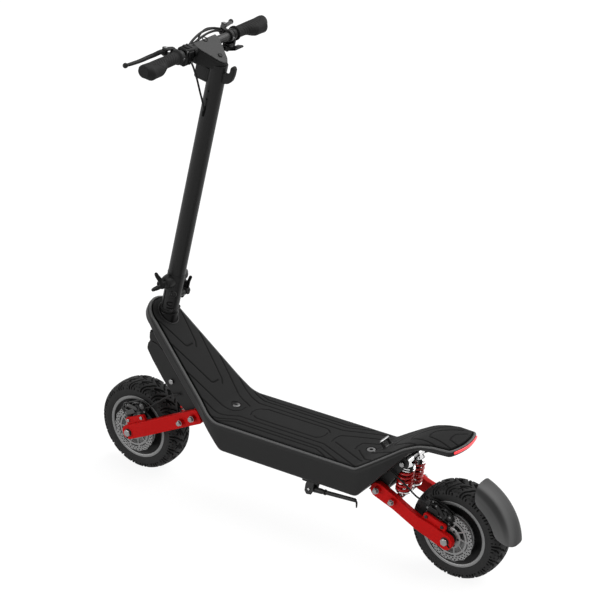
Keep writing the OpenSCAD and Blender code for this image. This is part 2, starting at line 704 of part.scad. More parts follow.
rear_run = [[173, 58, 261], [152, 57.5, 249], [131, 57, 236], [99, 56.5, 213], [75, 54, 205],
  [58.1, 52.1, 204]];
module front_cable() color([0.04, 0.04, 0.04]) base() sweep(smooth(front_run, 4), 2.5, 8, [0, 0.3, 1]);
module rear_cable() color([0.04, 0.04, 0.04]) base() sweep(smooth(rear_run, 4), 2.5, 8, [0, 1, 0]);

module tyre() rotate_extrude($fn = 96) polygon(mirrored([[tyre_r - 9, 8], [tyre_r - 10, tyre_w / 2 - 18],
  [tyre_r - 14, tyre_w / 2 - 10], [rim_r + 14, tyre_w / 2 - 8], [rim_r + 5, tyre_w / 2 - 14],
  [rim_r - 7.7, rim_w / 2 - 16], [rim_r - 7.7, rim_w / 2 - 8.3], [rim_r + 0.4, rim_w / 2 - 8.3],
  [rim_r + 0.4, rim_w / 2 - 2], [rim_r + 7, tyre_w / 2 - 1], [rim_r + 15, tyre_w / 2],
  [tyre_r - 12, tyre_w / 2 - 1], [tyre_r - 5, tyre_w / 2 - 6], [tyre_r - 1.4, tyre_w / 2 - 17],
  [tyre_r, 8]]));
module rim_ring() rotate_extrude($fn = 96) polygon(mirrored([[rim_r - 14, rim_w / 2], [rim_r, rim_w / 2],
  [rim_r, rim_w / 2 - 8], [rim_r - 8, rim_w / 2 - 8]]));
disc_face = disc_y - disc_t / 2;
module brake_disc() translate([0, 0, disc_face]) difference() {
  union() {
    difference() {
      cylinder(r = disc_r, h = disc_t, $fn = 96);
      translate([0, 0, -1]) cylinder(r = disc_r - 19, h = disc_t + 2);
    }
    cylinder(r = 30, h = disc_t);
    for (i = [0:5]) rotate(60 * i) translate([24, -5, 0]) cube([disc_r - 40, 10, disc_t]);
  }
  translate([0, 0, -1]) cylinder(r = 16, h = disc_t + 2);
  for (i = [0:23]) rotate(15 * i) translate([disc_r - (i % 2 == 0 ? 6 : 13), 0, -1])
    cylinder(r = 2.5, h = disc_t + 2, $fn = 16);
  for (i = [0:11]) rotate(30 * i + 15) translate([disc_r + 6, 0, -1]) cylinder(r = 8.5, h = disc_t + 2);
}
module front_tyre() color([0.04, 0.04, 0.04]) base() wheel(wheelbase) tyre();
module rear_tyre() color([0.04, 0.04, 0.04]) base() wheel(0) tyre();
seat_r = 14;
module front_rim() color([0.1, 0.1, 0.11]) base() wheel(wheelbase) difference() {
  union() {
    rim_ring();
    difference() {
      post(rim_r - 13, 6, 14);
      for (i = [0:5]) rotate(60 * i) translate([52, 0, 0]) cylinder(r = 12, h = 20);
    }
    post(24, -28, disc_face);
  }
  post(axle_r + 4, -60, 60);
  post(seat_r, -29, -19);
  post(seat_r, disc_face - 9, disc_face + 1);
}
module front_bearings() color([0.7, 0.7, 0.72]) base() wheel(wheelbase)
  for (h = [-28, disc_face - 9]) difference() {
  post(seat_r - fit, h, h + 9);
  post(axle_r + fit, h - 1, h + 10);
}
module rear_rim() color([0.1, 0.1, 0.11]) base() wheel(0) difference() {
  union() {
    rim_ring();
    post(rim_r - 13, -28, 28);
    post(24, 0, disc_face);
  }
  post(rim_r - 22, -23, 23);
  post(axle_r + fit, -60, 60);
  for (i = [0:5]) rotate(60 * i + 30) translate([44, 0, -40]) cylinder(r = 6, h = 20);
}
module motor_stator() color([0.55, 0.35, 0.15]) base() wheel(0) difference() {
  post(rim_r - 24, -17, 17);
  post(axle_r + fit, -60, 60);
  for (i = [0:8]) rotate(40 * i) translate([38, -6, -20]) cube([40, 12, 40]);
}
module front_disc() color([0.75, 0.75, 0.77]) base() wheel(wheelbase) brake_disc();
module rear_disc() color([0.75, 0.75, 0.77]) base() wheel(0) brake_disc();

module shock(high, low) translate([low.x, shock_y, low.y])
  rotate([0, atan2(high.x - low.x, high.y - low.y), 0]) children();
module eye(h, r) difference() {
  translate([0, 0, h]) rotate([90, 0, 0]) cylinder(r = eye_r + 4.5, h = 24, center = true);
  translate([0, 0, h]) rotate([90, 0, 0]) cylinder(r = r, h = 30, center = true);
}
module shock_body(len) {
  eye(len, eye_r + fit);
  difference() {
    union() {
      post(spring_r - 2 * wire_r - 1, len - 58, len - 8);
      post(spring_r, len - 24, len - 14);
    }
    post(5 + fit, len - 60, len - 22);
    translate([0, 0, len]) rotate([90, 0, 0]) cylinder(r = eye_r + 4.4, h = 40, center = true);
  }
}
module shock_rod(len) {
  eye(0, eye_r + gap);
  difference() {
    union() {
      post(5, 5, len - 36);
      post(spring_r, 12, 16);
      post(8, 5, 13);
    }
    rotate([90, 0, 0]) cylinder(r = eye_r + 4.4, h = 40, center = true);
  }
}
turns = 5;
function helix(len) = let (r = spring_r - wire_r, z0 = 16.3 + wire_r, z1 = len - 24.3 - wire_r,
  n = 8 * turns)
  let (p = [for (i = [0:n]) [r * cos(45 * i), r * sin(45 * i), z0 + (z1 - z0) * i / n]])
  let (d = unit(p[1] - p[0]), e = unit(p[n] - p[n - 1]))
  concat([p[0] - 2 * wire_r * [d.x, d.y, 0]], p, [p[n] + 2 * wire_r * [e.x, e.y, 0]]);
front_len = norm(front_high - front_low);
rear_len = norm(rear_high - rear_low);
module front_shock_bodies() color([0.6, 0.6, 0.62]) base() pair()
  shock(front_high, front_low) shock_body(front_len);
module front_shock_rods() color([0.3, 0.3, 0.32]) base() pair()
  shock(front_high, front_low) shock_rod(front_len);
module front_springs() color([0.7, 0.06, 0.06]) base() pair() shock(front_high, front_low)
  sweep(helix(front_len), wire_r, 6, [0, 0, 1]);
module rear_shock_bodies() color([0.6, 0.6, 0.62]) base() pair()
  shock(rear_high, rear_low) shock_body(rear_len);
module rear_shock_rods() color([0.3, 0.3, 0.32]) base() pair()
  shock(rear_high, rear_low) shock_rod(rear_len);
module rear_springs() color([0.7, 0.06, 0.06]) base() pair() shock(rear_high, rear_low)
  sweep(helix(rear_len), wire_r, 6, [0, 0, 1]);

module fender() color([0.13, 0.13, 0.14]) base() {
  wheel(0) rotate(178) rotate_extrude(angle = 71, $fn = 96) polygon(mirrored([[fender_r - 3, 12],
    [fender_r - 6, 25], [fender_r - 13, 36], [fender_r - 22, 42], [fender_r - 33, 45], [fender_r - 33, 48],
    [fender_r - 20, 48], [fender_r - 9, 41], [fender_r - 2.5, 28], [fender_r, 12]]));
  side(-end_in, -46.5) polygon([for (q = [[-3, 14], [-16, 2], [-118, 70], [-110, 83]]) rear_axle + q]);
}

deck_shell();
deck_lid();
deck_mat();
deck_fasteners();
battery_pack();
controller();
charge_port();
headset_bearings();
rear_bracket();
tail_light();
fold_catch();
kickstand_bracket();
kickstand();
fork();
fork_bolts();
hinge_base();
stem_tube();
hinge_head();
stem_head();
head_panel();
headlight();
carry_hook();
handlebar();
grips();
brake_perches();
switch_box();
throttle_body();
bar_cables();
fold_lever();
lock_lever();
brake_lever_left();
brake_lever_right();
throttle_paddle();
power_button();
horn_button();
front_arm_left();
front_arm_right();
front_bolts();
front_caliper();
front_cable();
front_tyre();
front_rim();
front_disc();
front_bearings();
front_shock_bodies();
front_shock_rods();
front_springs();
rear_arm_left();
rear_arm_right();
rear_bolts();
motor_stator();
rear_caliper();
fender();
rear_cable();
rear_tyre();
rear_rim();
rear_disc();
rear_shock_bodies();
rear_shock_rods();
rear_springs();
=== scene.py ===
import json
import math

import bpy
import numpy as np
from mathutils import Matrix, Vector


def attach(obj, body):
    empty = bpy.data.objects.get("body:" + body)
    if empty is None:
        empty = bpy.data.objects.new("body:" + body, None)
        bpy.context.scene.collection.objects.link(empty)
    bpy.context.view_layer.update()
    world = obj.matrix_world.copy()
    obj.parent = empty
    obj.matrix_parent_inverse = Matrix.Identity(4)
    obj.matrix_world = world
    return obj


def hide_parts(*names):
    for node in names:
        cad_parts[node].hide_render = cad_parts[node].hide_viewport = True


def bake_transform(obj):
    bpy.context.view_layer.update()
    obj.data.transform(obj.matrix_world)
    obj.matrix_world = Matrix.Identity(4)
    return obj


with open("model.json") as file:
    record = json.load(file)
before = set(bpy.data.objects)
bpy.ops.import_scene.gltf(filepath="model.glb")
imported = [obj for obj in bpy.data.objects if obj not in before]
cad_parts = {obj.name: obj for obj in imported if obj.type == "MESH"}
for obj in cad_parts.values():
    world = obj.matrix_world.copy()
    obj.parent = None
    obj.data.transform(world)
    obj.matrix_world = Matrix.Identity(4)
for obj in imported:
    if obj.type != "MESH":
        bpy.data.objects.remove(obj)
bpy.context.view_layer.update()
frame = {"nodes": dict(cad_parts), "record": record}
nodes = frame["nodes"]
print("stage frame")

# shapes are drawn in millimetres from the rear axle and moved to the row frame when a piece is built
rowShift = np.array([478.0, 0.0, 0.0])
tilt = math.radians(14)
wheelbase, axleZ = 994.0, 127.5
shockTop = {"front": (860.0, 309.0), "rear": (142.0, 287.0)}
alongStem = {"o": (wheelbase, 0, axleZ), "x": (math.cos(tilt), 0, math.sin(tilt)), "y": (0, 1, 0),
             "z": (-math.sin(tilt), 0, math.cos(tilt))}
sideways = {"o": (0, 0, 0), "x": (1, 0, 0), "y": (0, 0, 1), "z": (0, 1, 0)}  # a side view, extruded along y


def frameAt(origin, x=(1, 0, 0), y=(0, 1, 0), z=(0, 0, 1)):
    return {"o": origin, "x": x, "y": y, "z": z}


def facing(origin, way):
    return frameAt(origin, x=(0, 1, 0), y=(0, 0, 1), z=(way, 0, 0))


def inFrame(f, point):
    return np.asarray(f["o"], float) + np.asarray(point, float) @ np.array([f["x"], f["y"], f["z"]], float)


def nested(f, origin, x=(1, 0, 0), y=(0, 1, 0), z=(0, 0, 1)):
    turn = np.array([f["x"], f["y"], f["z"]], float)
    return {"o": inFrame(f, origin), "x": np.array(x) @ turn, "y": np.array(y) @ turn, "z": np.array(z) @ turn}


def axisFrame(origin, axis, ref=(0, 0, 1)):
    z = np.array(axis, float) / np.linalg.norm(axis)
    ref = np.array(ref, float) if abs(z @ np.array(ref)) < 0.95 * np.linalg.norm(ref) else np.array([1.0, 0, 0])
    x = np.cross(ref, z)
    x = x / np.linalg.norm(x)
    return {"o": origin, "x": x, "y": np.cross(z, x), "z": z}


# a part holds points, face index arrays with a smooth flag each, and a material
def part(points, faces, mat):
    made = {"v": np.asarray(points, float).reshape(-1, 3), "f": faces, "m": mat, "a": {}}
    total = 0.0  # six times the volume from fans of triangles; below zero the faces turn inward
    for idx, smooth in faces:
        a = made["v"][idx[:, 0]]
        for k in range(1, idx.shape[1] - 1):
            total += np.einsum("ij,ij->", a, np.cross(made["v"][idx[:, k]], made["v"][idx[:, k + 1]]))
    if total < 0:
        made["f"] = [(idx[:, ::-1], smooth) for idx, smooth in faces]
    return made


def place(p, f):
    moved = {"v": inFrame(f, p["v"]), "f": p["f"], "m": p["m"], "a": p["a"]}
    turn = np.array([f["x"], f["y"], f["z"]], float)
    if np.linalg.det(turn) < 0:
        moved["f"] = [(idx[:, ::-1], smooth) for idx, smooth in p["f"]]
    return moved


def placed(parts, f):
    return [place(p, f) for p in parts]


def mirrorY(p):
    return place(p, frameAt((0, 0, 0), y=(0, -1, 0)))


def mirrored(parts):
    return [mirrorY(p) for p in parts]


def paired(parts, f):
    return [q for p in placed(parts, f) for q in (p, mirrorY(p))]


def grid(points, mat, wrapU=False, wrapV=False, cap="", tips=(None, None)):
    nu, nv = points.shape[:2]
    ids = np.arange(nu * nv).reshape(nu, nv)
    wide = np.vstack([ids, ids[:1]]) if wrapU else ids
    wide = np.hstack([wide, wide[:, :1]]) if wrapV else wide
    quads = np.stack([wide[:-1, :-1], wide[1:, :-1], wide[1:, 1:], wide[:-1, 1:]], -1).reshape(-1, 4)
    faces, points = [(quads, True)], points.reshape(-1, 3)
    rings = [ids[0][::-1], ids[-1]] if cap else []
    for ring, tip in zip(rings, tips):
        if cap == "flat" and tip is None:
            faces.append((ring[None, :], False))
        elif cap == "pairs":
            half = nv // 2
            a = ring[:half]
            b = ring[::-1][:half]
            faces.append((np.stack([a[:-1], a[1:], b[1:], b[:-1]], -1), False))
        else:
            apex = points[ring].mean(0) if tip is None else np.asarray(tip, float)
            points = np.vstack([points, apex])
            nxt = np.roll(ring, -1)
            faces.append((np.stack([ring, nxt, np.full(nv, len(points) - 1)], -1), True))
    return part(points, faces, mat)


# each corner of a line becomes the arc of the given radius: the rational curve with weight sin(half angle)
def fillet(points, radius, steps=6, closed=True):
    p = np.asarray(points, float)
    r = np.broadcast_to(np.asarray(radius, float), (len(p),))
    a, b = np.roll(p, 1, 0) - p, np.roll(p, -1, 0) - p
    if not closed:
        a[0], b[-1] = -b[0], -a[-1]
    la, lb = np.linalg.norm(a, axis=1), np.linalg.norm(b, axis=1)
    u, v = a / la[:, None], b / lb[:, None]
    half = np.arccos(np.clip((u * v).sum(1), -1, 1)) / 2
    cut = np.minimum(r / np.maximum(np.tan(half), 1e-6), 0.49 * np.minimum(la, lb))
    if not closed:
        cut[[0, -1]] = 0
    t = np.linspace(0, 1, steps + 1)[None, :, None]
    w = np.sin(half)[:, None, None]
    start, end = p + u * cut[:, None], p + v * cut[:, None]
    num = (1 - t) ** 2 * start[:, None] + 2 * t * (1 - t) * w * p[:, None] + t ** 2 * end[:, None]
    arcs = num / ((1 - t) ** 2 + 2 * t * (1 - t) * w + t ** 2)
    line = arcs.reshape(-1, p.shape[1])
    keep = np.linalg.norm(line - np.roll(line, 1, 0), axis=1) > 1e-4
    keep[0] = keep[0] or not closed
    return line[keep]


def smoothPath(points, k=8):
    p = np.asarray(points, float)
    q = np.vstack([2 * p[:1] - p[1:2], p, 2 * p[-1:] - p[-2:-1]])
    t = np.linspace(0, 1, k, endpoint=False)[None, :, None]
    a, b, c, d = (q[i:len(q) - 3 + i][:, None] for i in range(4))
    curve = 0.5 * (2 * b + (c - a) * t + (2 * a - 5 * b + 4 * c - d) * t ** 2 + (3 * b - a - 3 * c + d) * t ** 3)
    return np.vstack([curve.reshape(-1, p.shape[1]), p[-1:]])


def evenly(line, n):
    steps = np.r_[0, np.cumsum(np.linalg.norm(np.diff(line, axis=0), axis=1))]
    at = np.linspace(0, steps[-1], n)
    return np.stack([np.interp(at, steps, line[:, i]) for i in range(line.shape[1])], -1)


def ease(x, low=0.0, high=1.0):
    t = np.clip((x - low) / (high - low), 0, 1)
    return t * t * (3 - 2 * t)


# a profile of (radius, height) turned about z
def revolve(profile, mat, n=40, closed=False):
    p = np.asarray(profile, float)
    tips = [None, None]
    if not closed and p[0, 0] < 1e-6:
        tips[0], p = (0, 0, p[0, 1]), p[1:]
    if not closed and p[-1, 0] < 1e-6:
        tips[1], p = (0, 0, p[-1, 1]), p[:-1]
    th = np.arange(n) * 2 * np.pi / n
    pts = np.stack([p[:, :1] * np.cos(th), p[:, :1] * np.sin(th), np.repeat(p[:, 1:], n, 1)], -1)
    return grid(pts, mat, wrapU=closed, wrapV=True, cap="" if closed else "flat", tips=tips)


# the same about y, from a spot given as x, z and y
def lathe(profile, mat, n=40, closed=False, at=(0, 0, 0)):
    return place(revolve(profile, mat, n, closed), nested(sideways, at))


def rod(r, low, high):
    return [[0, low], [r, low], [r, high], [0, high]]


# a round section carried along a path, with rounded ends
def sweep(path, radius, mat, n=12, ref=(0, 0, 1), flatten=1.0, ends=True):
    p = np.asarray(path, float)
    r = np.broadcast_to(np.asarray(radius, float), (len(p),)).copy()
    t = np.gradient(p, axis=0)
    t = t / np.linalg.norm(t, axis=1)[:, None]
    if ends:
        a = np.radians([80, 55, 28])[:, None]
        p = np.vstack([p[0] - t[0] * r[0] * np.sin(a), p, p[-1] + t[-1] * r[-1] * np.sin(a[::-1])])
        r = np.r_[r[0] * np.cos(a[:, 0]), r, r[-1] * np.cos(a[::-1, 0])]
        t = np.vstack([t[[0, 0, 0]], t, t[[-1, -1, -1]]])
    u = np.cross(t, np.asarray(ref, float))
    u = u / np.linalg.norm(u, axis=1)[:, None]
    v = np.cross(u, t)
    th = np.arange(n) * 2 * np.pi / n
    ring = u[:, None] * np.cos(th)[None, :, None] + flatten * v[:, None] * np.sin(th)[None, :, None]
    return grid(p[:, None] + r[:, None, None] * ring, mat, wrapV=True, cap="fan")


# a flat outline given thickness, its edges rounded by rings that step inward along the corner bisectors
def plate(outline, w0, w1, bevel, mat, steps=3, cap="flat"):
    o = np.asarray(outline, float)
    nxt = np.roll(o, -1, 0)
    if (o[:, 0] * nxt[:, 1] - o[:, 1] * nxt[:, 0]).sum() < 0:
        o = o[::-1]
    d = np.roll(o, -1, 0) - o
    d = d / np.linalg.norm(d, axis=1)[:, None]
    n2 = np.stack([-d[:, 1], d[:, 0]], -1)
    n1 = np.roll(n2, 1, 0)
    inward = (n1 + n2) / np.maximum(1 + (n1 * n2).sum(1), 0.3)[:, None]
    a = np.linspace(0, np.pi / 2, steps + 1)
    off = bevel * (1 - np.sin(a))
    lift = bevel * (1 - np.cos(a))
    off, w = np.r_[off, off[::-1]], np.r_[w0 + lift, (w1 - lift)[::-1]]
    flat = o[None] + inward[None] * off[:, None, None]
    return grid(np.dstack([flat, np.repeat(w[:, None], len(o), 1)]), mat, wrapV=True, cap=cap)


def ringOutline(r, n=48, start=0.0):
    th = start + np.arange(n) * 2 * np.pi / n
    return np.stack([r * np.cos(th), r * np.sin(th)], -1)


def rectOutline(x0, y0, x1, y1, r=3.0, steps=5):
    return fillet([[x0, y0], [x1, y0], [x1, y1], [x0, y1]], r, steps)


def block(x0, x1, y0, y1, z0, z1, r, bevel, mat):
    return plate(rectOutline(x0, y0, x1, y1, r), z0, z1, bevel, mat)


def sideBlock(outline, y0, y1, bevel, mat, r=0.0, steps=5):
    line = fillet(outline, r, steps) if np.any(np.asarray(r) > 0) else outline
    return place(plate(line, y0, y1, bevel, mat), sideways)


# a bolt head: chamfered hexagon or round cap, with a hollow in its face; the round cap's hollow ends in a near-black
# disc of painted shade
def hexBolt(r, h, mat):
    hexa = fillet(ringOutline(r, 6, 0.3), 1.0, 2)
    return [plate(hexa, 0, h * 0.86, 0.5, mat, 2), revolve([[0, h * 0.8], [r * 0.8, h * 0.8], [r * 0.8, h * 0.9],
                                                            [r * 0.7, h], [0, h]], mat, 24)]


def capBolt(r, h, mat):
    hr, floorH = 0.5 * r, h - 0.2 * r
    # painted shade: a near-black disc on the hollow's floor
    return [revolve([[0, 0], [r, 0], [r, h - 0.7], [r - 0.7, h], [hr, h], [hr, floorH], [0, floorH]], mat, 28),
            revolve(rod(hr * 0.97, floorH, floorH + 0.1), paintedShadeFill, 6)]


# parts become one mesh object in the row frame
def build(name, parts, body, stands=(), sharp=38, rides=True, at=None):
    parts = placed(parts, at) if at else parts
    points = np.vstack([p["v"] for p in parts])
    offsets = np.cumsum([0] + [len(p["v"]) for p in parts])[:-1]
    mats = list({id(p["m"]): p["m"] for p in parts}.values())
    loops, sizes, slots, smooth = [], [], [], []
    for p, off in zip(parts, offsets):
        for idx, soft in p["f"]:
            loops.append((idx + off).ravel())
            sizes.append(np.full(len(idx), idx.shape[1]))
            slots.append(np.full(len(idx), mats.index(p["m"])))
            smooth.append(np.full(len(idx), soft))
    loops, sizes = np.concatenate(loops), np.concatenate(sizes)
    mesh = bpy.data.meshes.new(name)
    mesh.vertices.add(len(points))
    mesh.vertices.foreach_set("co", ((points - rowShift) * 0.001).astype(np.float32).ravel())
    mesh.loops.add(len(loops))
    mesh.loops.foreach_set("vertex_index", loops.astype(np.int32))
    mesh.polygons.add(len(sizes))
    mesh.polygons.foreach_set("loop_start", (np.cumsum(sizes) - sizes).astype(np.int32))
    mesh.polygons.foreach_set("material_index", np.concatenate(slots).astype(np.int32))
    for m in mats:
        mesh.materials.append(m)
    mesh.update(calc_edges=True)
    mesh.polygons.foreach_set("use_smooth", np.concatenate(smooth))
    mesh.set_sharp_from_angle(angle=math.radians(sharp))
    for key in {k for p in parts for k in p["a"]}:
        values = np.concatenate([np.broadcast_to(p["a"].get(key, 0.0), (len(p["v"]),)) for p in parts])
        mesh.attributes.new(key, "FLOAT", "POINT").data.foreach_set("value", values.astype(np.float32))
    obj = bpy.data.objects.new(name, mesh)
    bpy.context.scene.collection.objects.link(obj)
    if rides:
        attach(obj, body)
    if stands:
        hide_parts(*stands)
    return obj


def rgba(tone):
    return (tone, tone, tone, 1) if isinstance(tone, float) else (*tone, 1)


# materials: one principled surface with fine noise in its roughness and a grain that bends the normal
# a second colour from a point attribute is painted shade in grooves, pits and gaps and a painted highlight on the
# deck's bead; a ramp of greys from facing the eye to the edge is a painted sheen in the base colour
def surface(name, colour, rough, metal=0.0, spec=0.5, coat=0.0, grain=0.0, scale=900.0, spread=0.06, groove=None,
            paintedSheen=None):
    m = bpy.data.materials.new(name)
    m.use_nodes = True
    tree = m.node_tree
    link = tree.links.new
    b = tree.nodes["Principled BSDF"]
    b.inputs["Base Color"].default_value = rgba(colour)
    b.inputs["Metallic"].default_value = metal
    b.inputs["Specular IOR Level"].default_value = spec
    b.inputs["Coat Weight"].default_value = coat
    b.inputs["Coat Roughness"].default_value = 0.12
    where = tree.nodes.new("ShaderNodeTexCoord")
    noise = tree.nodes.new("ShaderNodeTexNoise")
    noise.inputs["Scale"].default_value = scale
    noise.inputs["Detail"].default_value = 3.0
    link(where.outputs["Object"], noise.inputs["Vector"])
    span = tree.nodes.new("ShaderNodeMapRange")
    span.inputs["To Min"].default_value = rough - spread
    span.inputs["To Max"].default_value = rough + spread
    link(noise.outputs["Fac"], span.inputs["Value"])
    link(span.outputs["Result"], b.inputs["Roughness"])
    if grain:
        bump = tree.nodes.new("ShaderNodeBump")
        bump.inputs["Strength"].default_value = grain
        bump.inputs["Distance"].default_value = 0.0003
        link(noise.outputs["Fac"], bump.inputs["Height"])
        link(bump.outputs["Normal"], b.inputs["Normal"])
    if groove:
        held = tree.nodes.new("ShaderNodeAttribute")
        held.attribute_name = "groove"
        mix = tree.nodes.new("ShaderNodeMix")
        mix.data_type = "RGBA"
        mix.inputs["A"].default_value = rgba(colour)
        mix.inputs["B"].default_value = rgba(groove)
        link(held.outputs["Fac"], mix.inputs["Factor"])
        link(mix.outputs["Result"], b.inputs["Base Color"])
    if paintedSheen:
        weight = tree.nodes.new("ShaderNodeLayerWeight")
        sheen = tree.nodes.new("ShaderNodeValToRGB")
        sheen.color_ramp.interpolation = "EASE"
        stops = sheen.color_ramp.elements
        stops[0].color = rgba(colour)
        stops[1].position, stops[1].color = paintedSheen[-1][0], rgba(paintedSheen[-1][1])
        for at, tone in paintedSheen[:-1]:
            stops.new(at).color = rgba(tone)
        link(weight.outputs["Facing"], sheen.inputs["Fac"])
        link(sheen.outputs["Color"], b.inputs["Base Color"])
    return m


paint = surface("blackPaint", 0.011, 0.4, spec=0.14, grain=0.08)
# second colours: a painted highlight on the deck's bead here, painted shade in the mat's and tyre's grooves and the
# disc's pits below
shellPaint = surface("shellPaint", 0.0122, 0.42, spec=0.12, grain=0.05, groove=0.085)
plastic = surface("blackPlastic", 0.01, 0.5, spec=0.12, grain=0.1)
gloss = surface("glossPlastic", 0.004, 0.3, spec=0.1)
matRubber = surface("matRubber", 0.0128, 0.75, spec=0.09, grain=0.2, scale=1400, groove=0.001)
tyreRubber = surface("tyreRubber", 0.018, 0.6, spec=0.1, grain=0.12, scale=700, groove=0.002)
gripRubber = surface("gripRubber", 0.012, 0.65, spec=0.1, grain=0.2)
redPaint = surface("redPaint", (0.39, 0.0045, 0.0045), 0.4, spec=0.05, grain=0.03)
springRed = surface("springRed", (0.4, 0.008, 0.008), 0.22, spec=0.2, coat=0.15)
alloy = surface("rimAlloy", 0.165, 0.5, metal=0.9, spread=0.04)
steel = surface("discSteel", 0.19, 0.48, metal=0.95, spread=0.05, groove=0.002)
boltSteel = surface("boltSteel", 0.24, 0.24, metal=1.0, spread=0.05)
screwGrey = surface("screwGrey", 0.16, 0.3, metal=0.9, spread=0.05)
castGrey = surface("castGrey", 0.05, 0.35, metal=0.6, spec=0.3, spread=0.08)
darkCast = surface("darkCast", 0.012, 0.35, metal=0.4, spec=0.16, spread=0.08)
darkBolt = surface("darkBolt", 0.022, 0.3, metal=0.5, spec=0.2, spread=0.05)
chrome = surface("chrome", 0.72, 0.05, metal=1.0, spread=0.02)
greyPaint = surface("greyPaint", 0.022, 0.4, spec=0.16, grain=0.04)
# painted sheen: the fender's base colour is deep grey facing the eye, light grey a little way round, and deeper grey
# again near the edge
fenderGrey = surface("fenderGrey", 0.024, 0.45, spec=0.1, grain=0.02, paintedSheen=((0.15, 0.092), (0.5, 0.036)))
panelGrey = surface("panelGrey", 0.05, 0.5, spec=0.1, grain=0.04)
barAlloy = surface("barAlloy", 0.034, 0.35, metal=0.5, spec=0.25)
lampRed = surface("lampRed", (0.8, 0.045, 0.055), 0.25, spec=0.3, coat=0.2)
cableBlack = surface("cableBlack", 0.008, 0.5, spec=0.14)
# painted shade: a near-black for discs and strips put in holes, sockets, slots and slits where there is only shade
paintedShadeFill = surface("paintedShadeBlack", 0.003, 0.8, spec=0.05)
lampGlow = lampRed.node_tree.nodes["Principled BSDF"].inputs
lampGlow["Emission Color"].default_value = (1.0, 0.05, 0.06, 1)
lampGlow["Emission Strength"].default_value = 0.45
cellBlue = surface("cellBlue", (0.02, 0.035, 0.13), 0.6)
copper = surface("copper", (0.45, 0.2, 0.1), 0.4, metal=0.8)
lens = surface("lampLens", (0.4, 0.4, 0.42), 0.12, spec=0.6, coat=0.6)

slotPaint = {"black_paint": paint, "black_plastic": plastic, "red_paint": redPaint, "mat_rubber": matRubber,
             "tyre_rubber": tyreRubber, "rim_alloy": alloy, "disc_steel": steel, "bolt_steel": boltSteel,
             "chrome": chrome, "spring_red": springRed, "grey_paint": greyPaint, "panel_grey": panelGrey,
             "light_red": lampRed, "cable_black": cableBlack, "cell_blue": cellBlue, "copper": copper,
             "bar_alloy": barAlloy}
for entry in frame["record"]["subparts"]:
    own = nodes[entry["node"]].data
    if len(own.materials) == 0:
        own.materials.append(slotPaint[entry["material_slot"]])
    for i in range(len(own.materials)):
        own.materials[i] = slotPaint[entry["material_slot"]]
print("stage materials")

# deck: the rim follows the outline, and its section runs from the bed over a bead and down the wall
deck = {"noseX": 911.25, "noseR": 54.0, "tailX": 142.0, "tailR": 154.0, "lowNose": (937.04, 448.96), "lowNoseR": 46.0,
        "round": 8.0}
halfRoot = math.sqrt(0.5)  # the neck climbs at 45 degrees
topLine = fillet([[-80, 371], [91, 371], [254, 263], [699.5, 263], [1096.5, 660]], [0, 200, 40, 60, 0], 24, False)
lowLine = fillet([[-80, 355.3], [95, 352], [248, 182], [670.1, 182], [1100, 611.9]], [0, 60, 25, 20, 0], 16, False)
planSide = np.array([[5, 64], [50, 68], [90, 70], [132, 78], [172, 91], [212, 100], [250, 104], [683, 104], [711, 98],
                     [741, 88.5], [914, 55.6], [938, 46.0]])


def topZ(x):
    return np.interp(x, topLine[:, 0], topLine[:, 1])


def lowZ(x):
    return np.interp(x, lowLine[:, 0], lowLine[:, 1])


def upAt(x):
    slope = (topZ(x + 0.5) - topZ(x - 0.5))
    n = np.stack([-slope, 0 * x, 1 + 0 * x], -1)
    return n / np.linalg.norm(n, axis=1)[:, None]


# half the outline in plan: the tail arc, a rounded corner, the side, and the nose circle seen along z
def halfOutline(inset=0.0, corner=17.0):
    ty = np.linspace(0, 50, 9)
    tail = np.stack([deck["tailX"] - np.sqrt((deck["tailR"] - inset) ** 2 - ty ** 2), ty], -1)
    edgeY = 64 - inset
    hit = [deck["tailX"] - math.sqrt((deck["tailR"] - inset) ** 2 - edgeY ** 2), edgeY]
    phi = np.linspace(np.pi / 2, 0, 28)
    r = deck["noseR"] - inset
    nose = np.stack([deck["noseX"] + r * np.cos(phi) * halfRoot, r * np.sin(phi)], -1)
    side = planSide[1:-2] - [0, inset]
    pts = np.vstack([tail, [hit], side, nose])
    radii = np.r_[np.zeros(len(tail)), max(corner - inset, 4), np.full(len(side), 130.0), np.zeros(len(nose))]
    return fillet(pts, radii, 8, False)


def onTop(line):
    return np.column_stack([line[:, 0], line[:, 1], topZ(line[:, 0])])


def fullRing(half):
    return np.vstack([half, half[-2:0:-1] * [1, -1, 1]])


halfRim = evenly(onTop(halfOutline()), 300)
rimUp = upAt(halfRim[:, 0])
rimWay = np.gradient(halfRim, axis=0)
rimWay[[0, -1], :] = [[0, 1, 0], [0, -1, 0]]
rimIn = np.cross(rimWay, rimUp)
rimIn = rimIn / np.linalg.norm(rimIn, axis=1)[:, None]
rimIn *= np.sign((rimIn * (np.array([450.0, 0, 400]) - halfRim)).sum(1))[:, None]
lean = ease(halfRim[:, 0], 720, 913)
lowX = halfRim[:, 0] + 24.04 * lean
lowY = np.where(halfRim[:, 0] > 720, np.interp(lowX, planSide[:, 0], planSide[:, 1]), halfRim[:, 1])
low = np.column_stack([lowX, lowY, lowZ(lowX)])
onNose = halfRim[:, 0] > deck["noseX"] + 0.4
phi = np.arctan2(halfRim[:, 1], (halfRim[:, 0] - deck["noseX"]) / halfRoot)
noseRise = deck["lowNoseR"] * np.cos(phi) * halfRoot
noseLow = np.column_stack([deck["lowNose"][0] + noseRise, deck["lowNoseR"] * np.sin(phi),
                           deck["lowNose"][1] + noseRise])
low[onNose] = noseLow[onNose]
beadAt = np.radians(np.linspace(0, 205, 15))
topSection = np.vstack([[9.0, -7.0], [8.9, -6.4],
                        np.column_stack([4.6 + 4.2 * np.cos(beadAt), -6.2 + 4.2 * np.sin(beadAt)]),
                        [1.7, -9.4], [1.6, -11.0], [0.8, -13.0]])
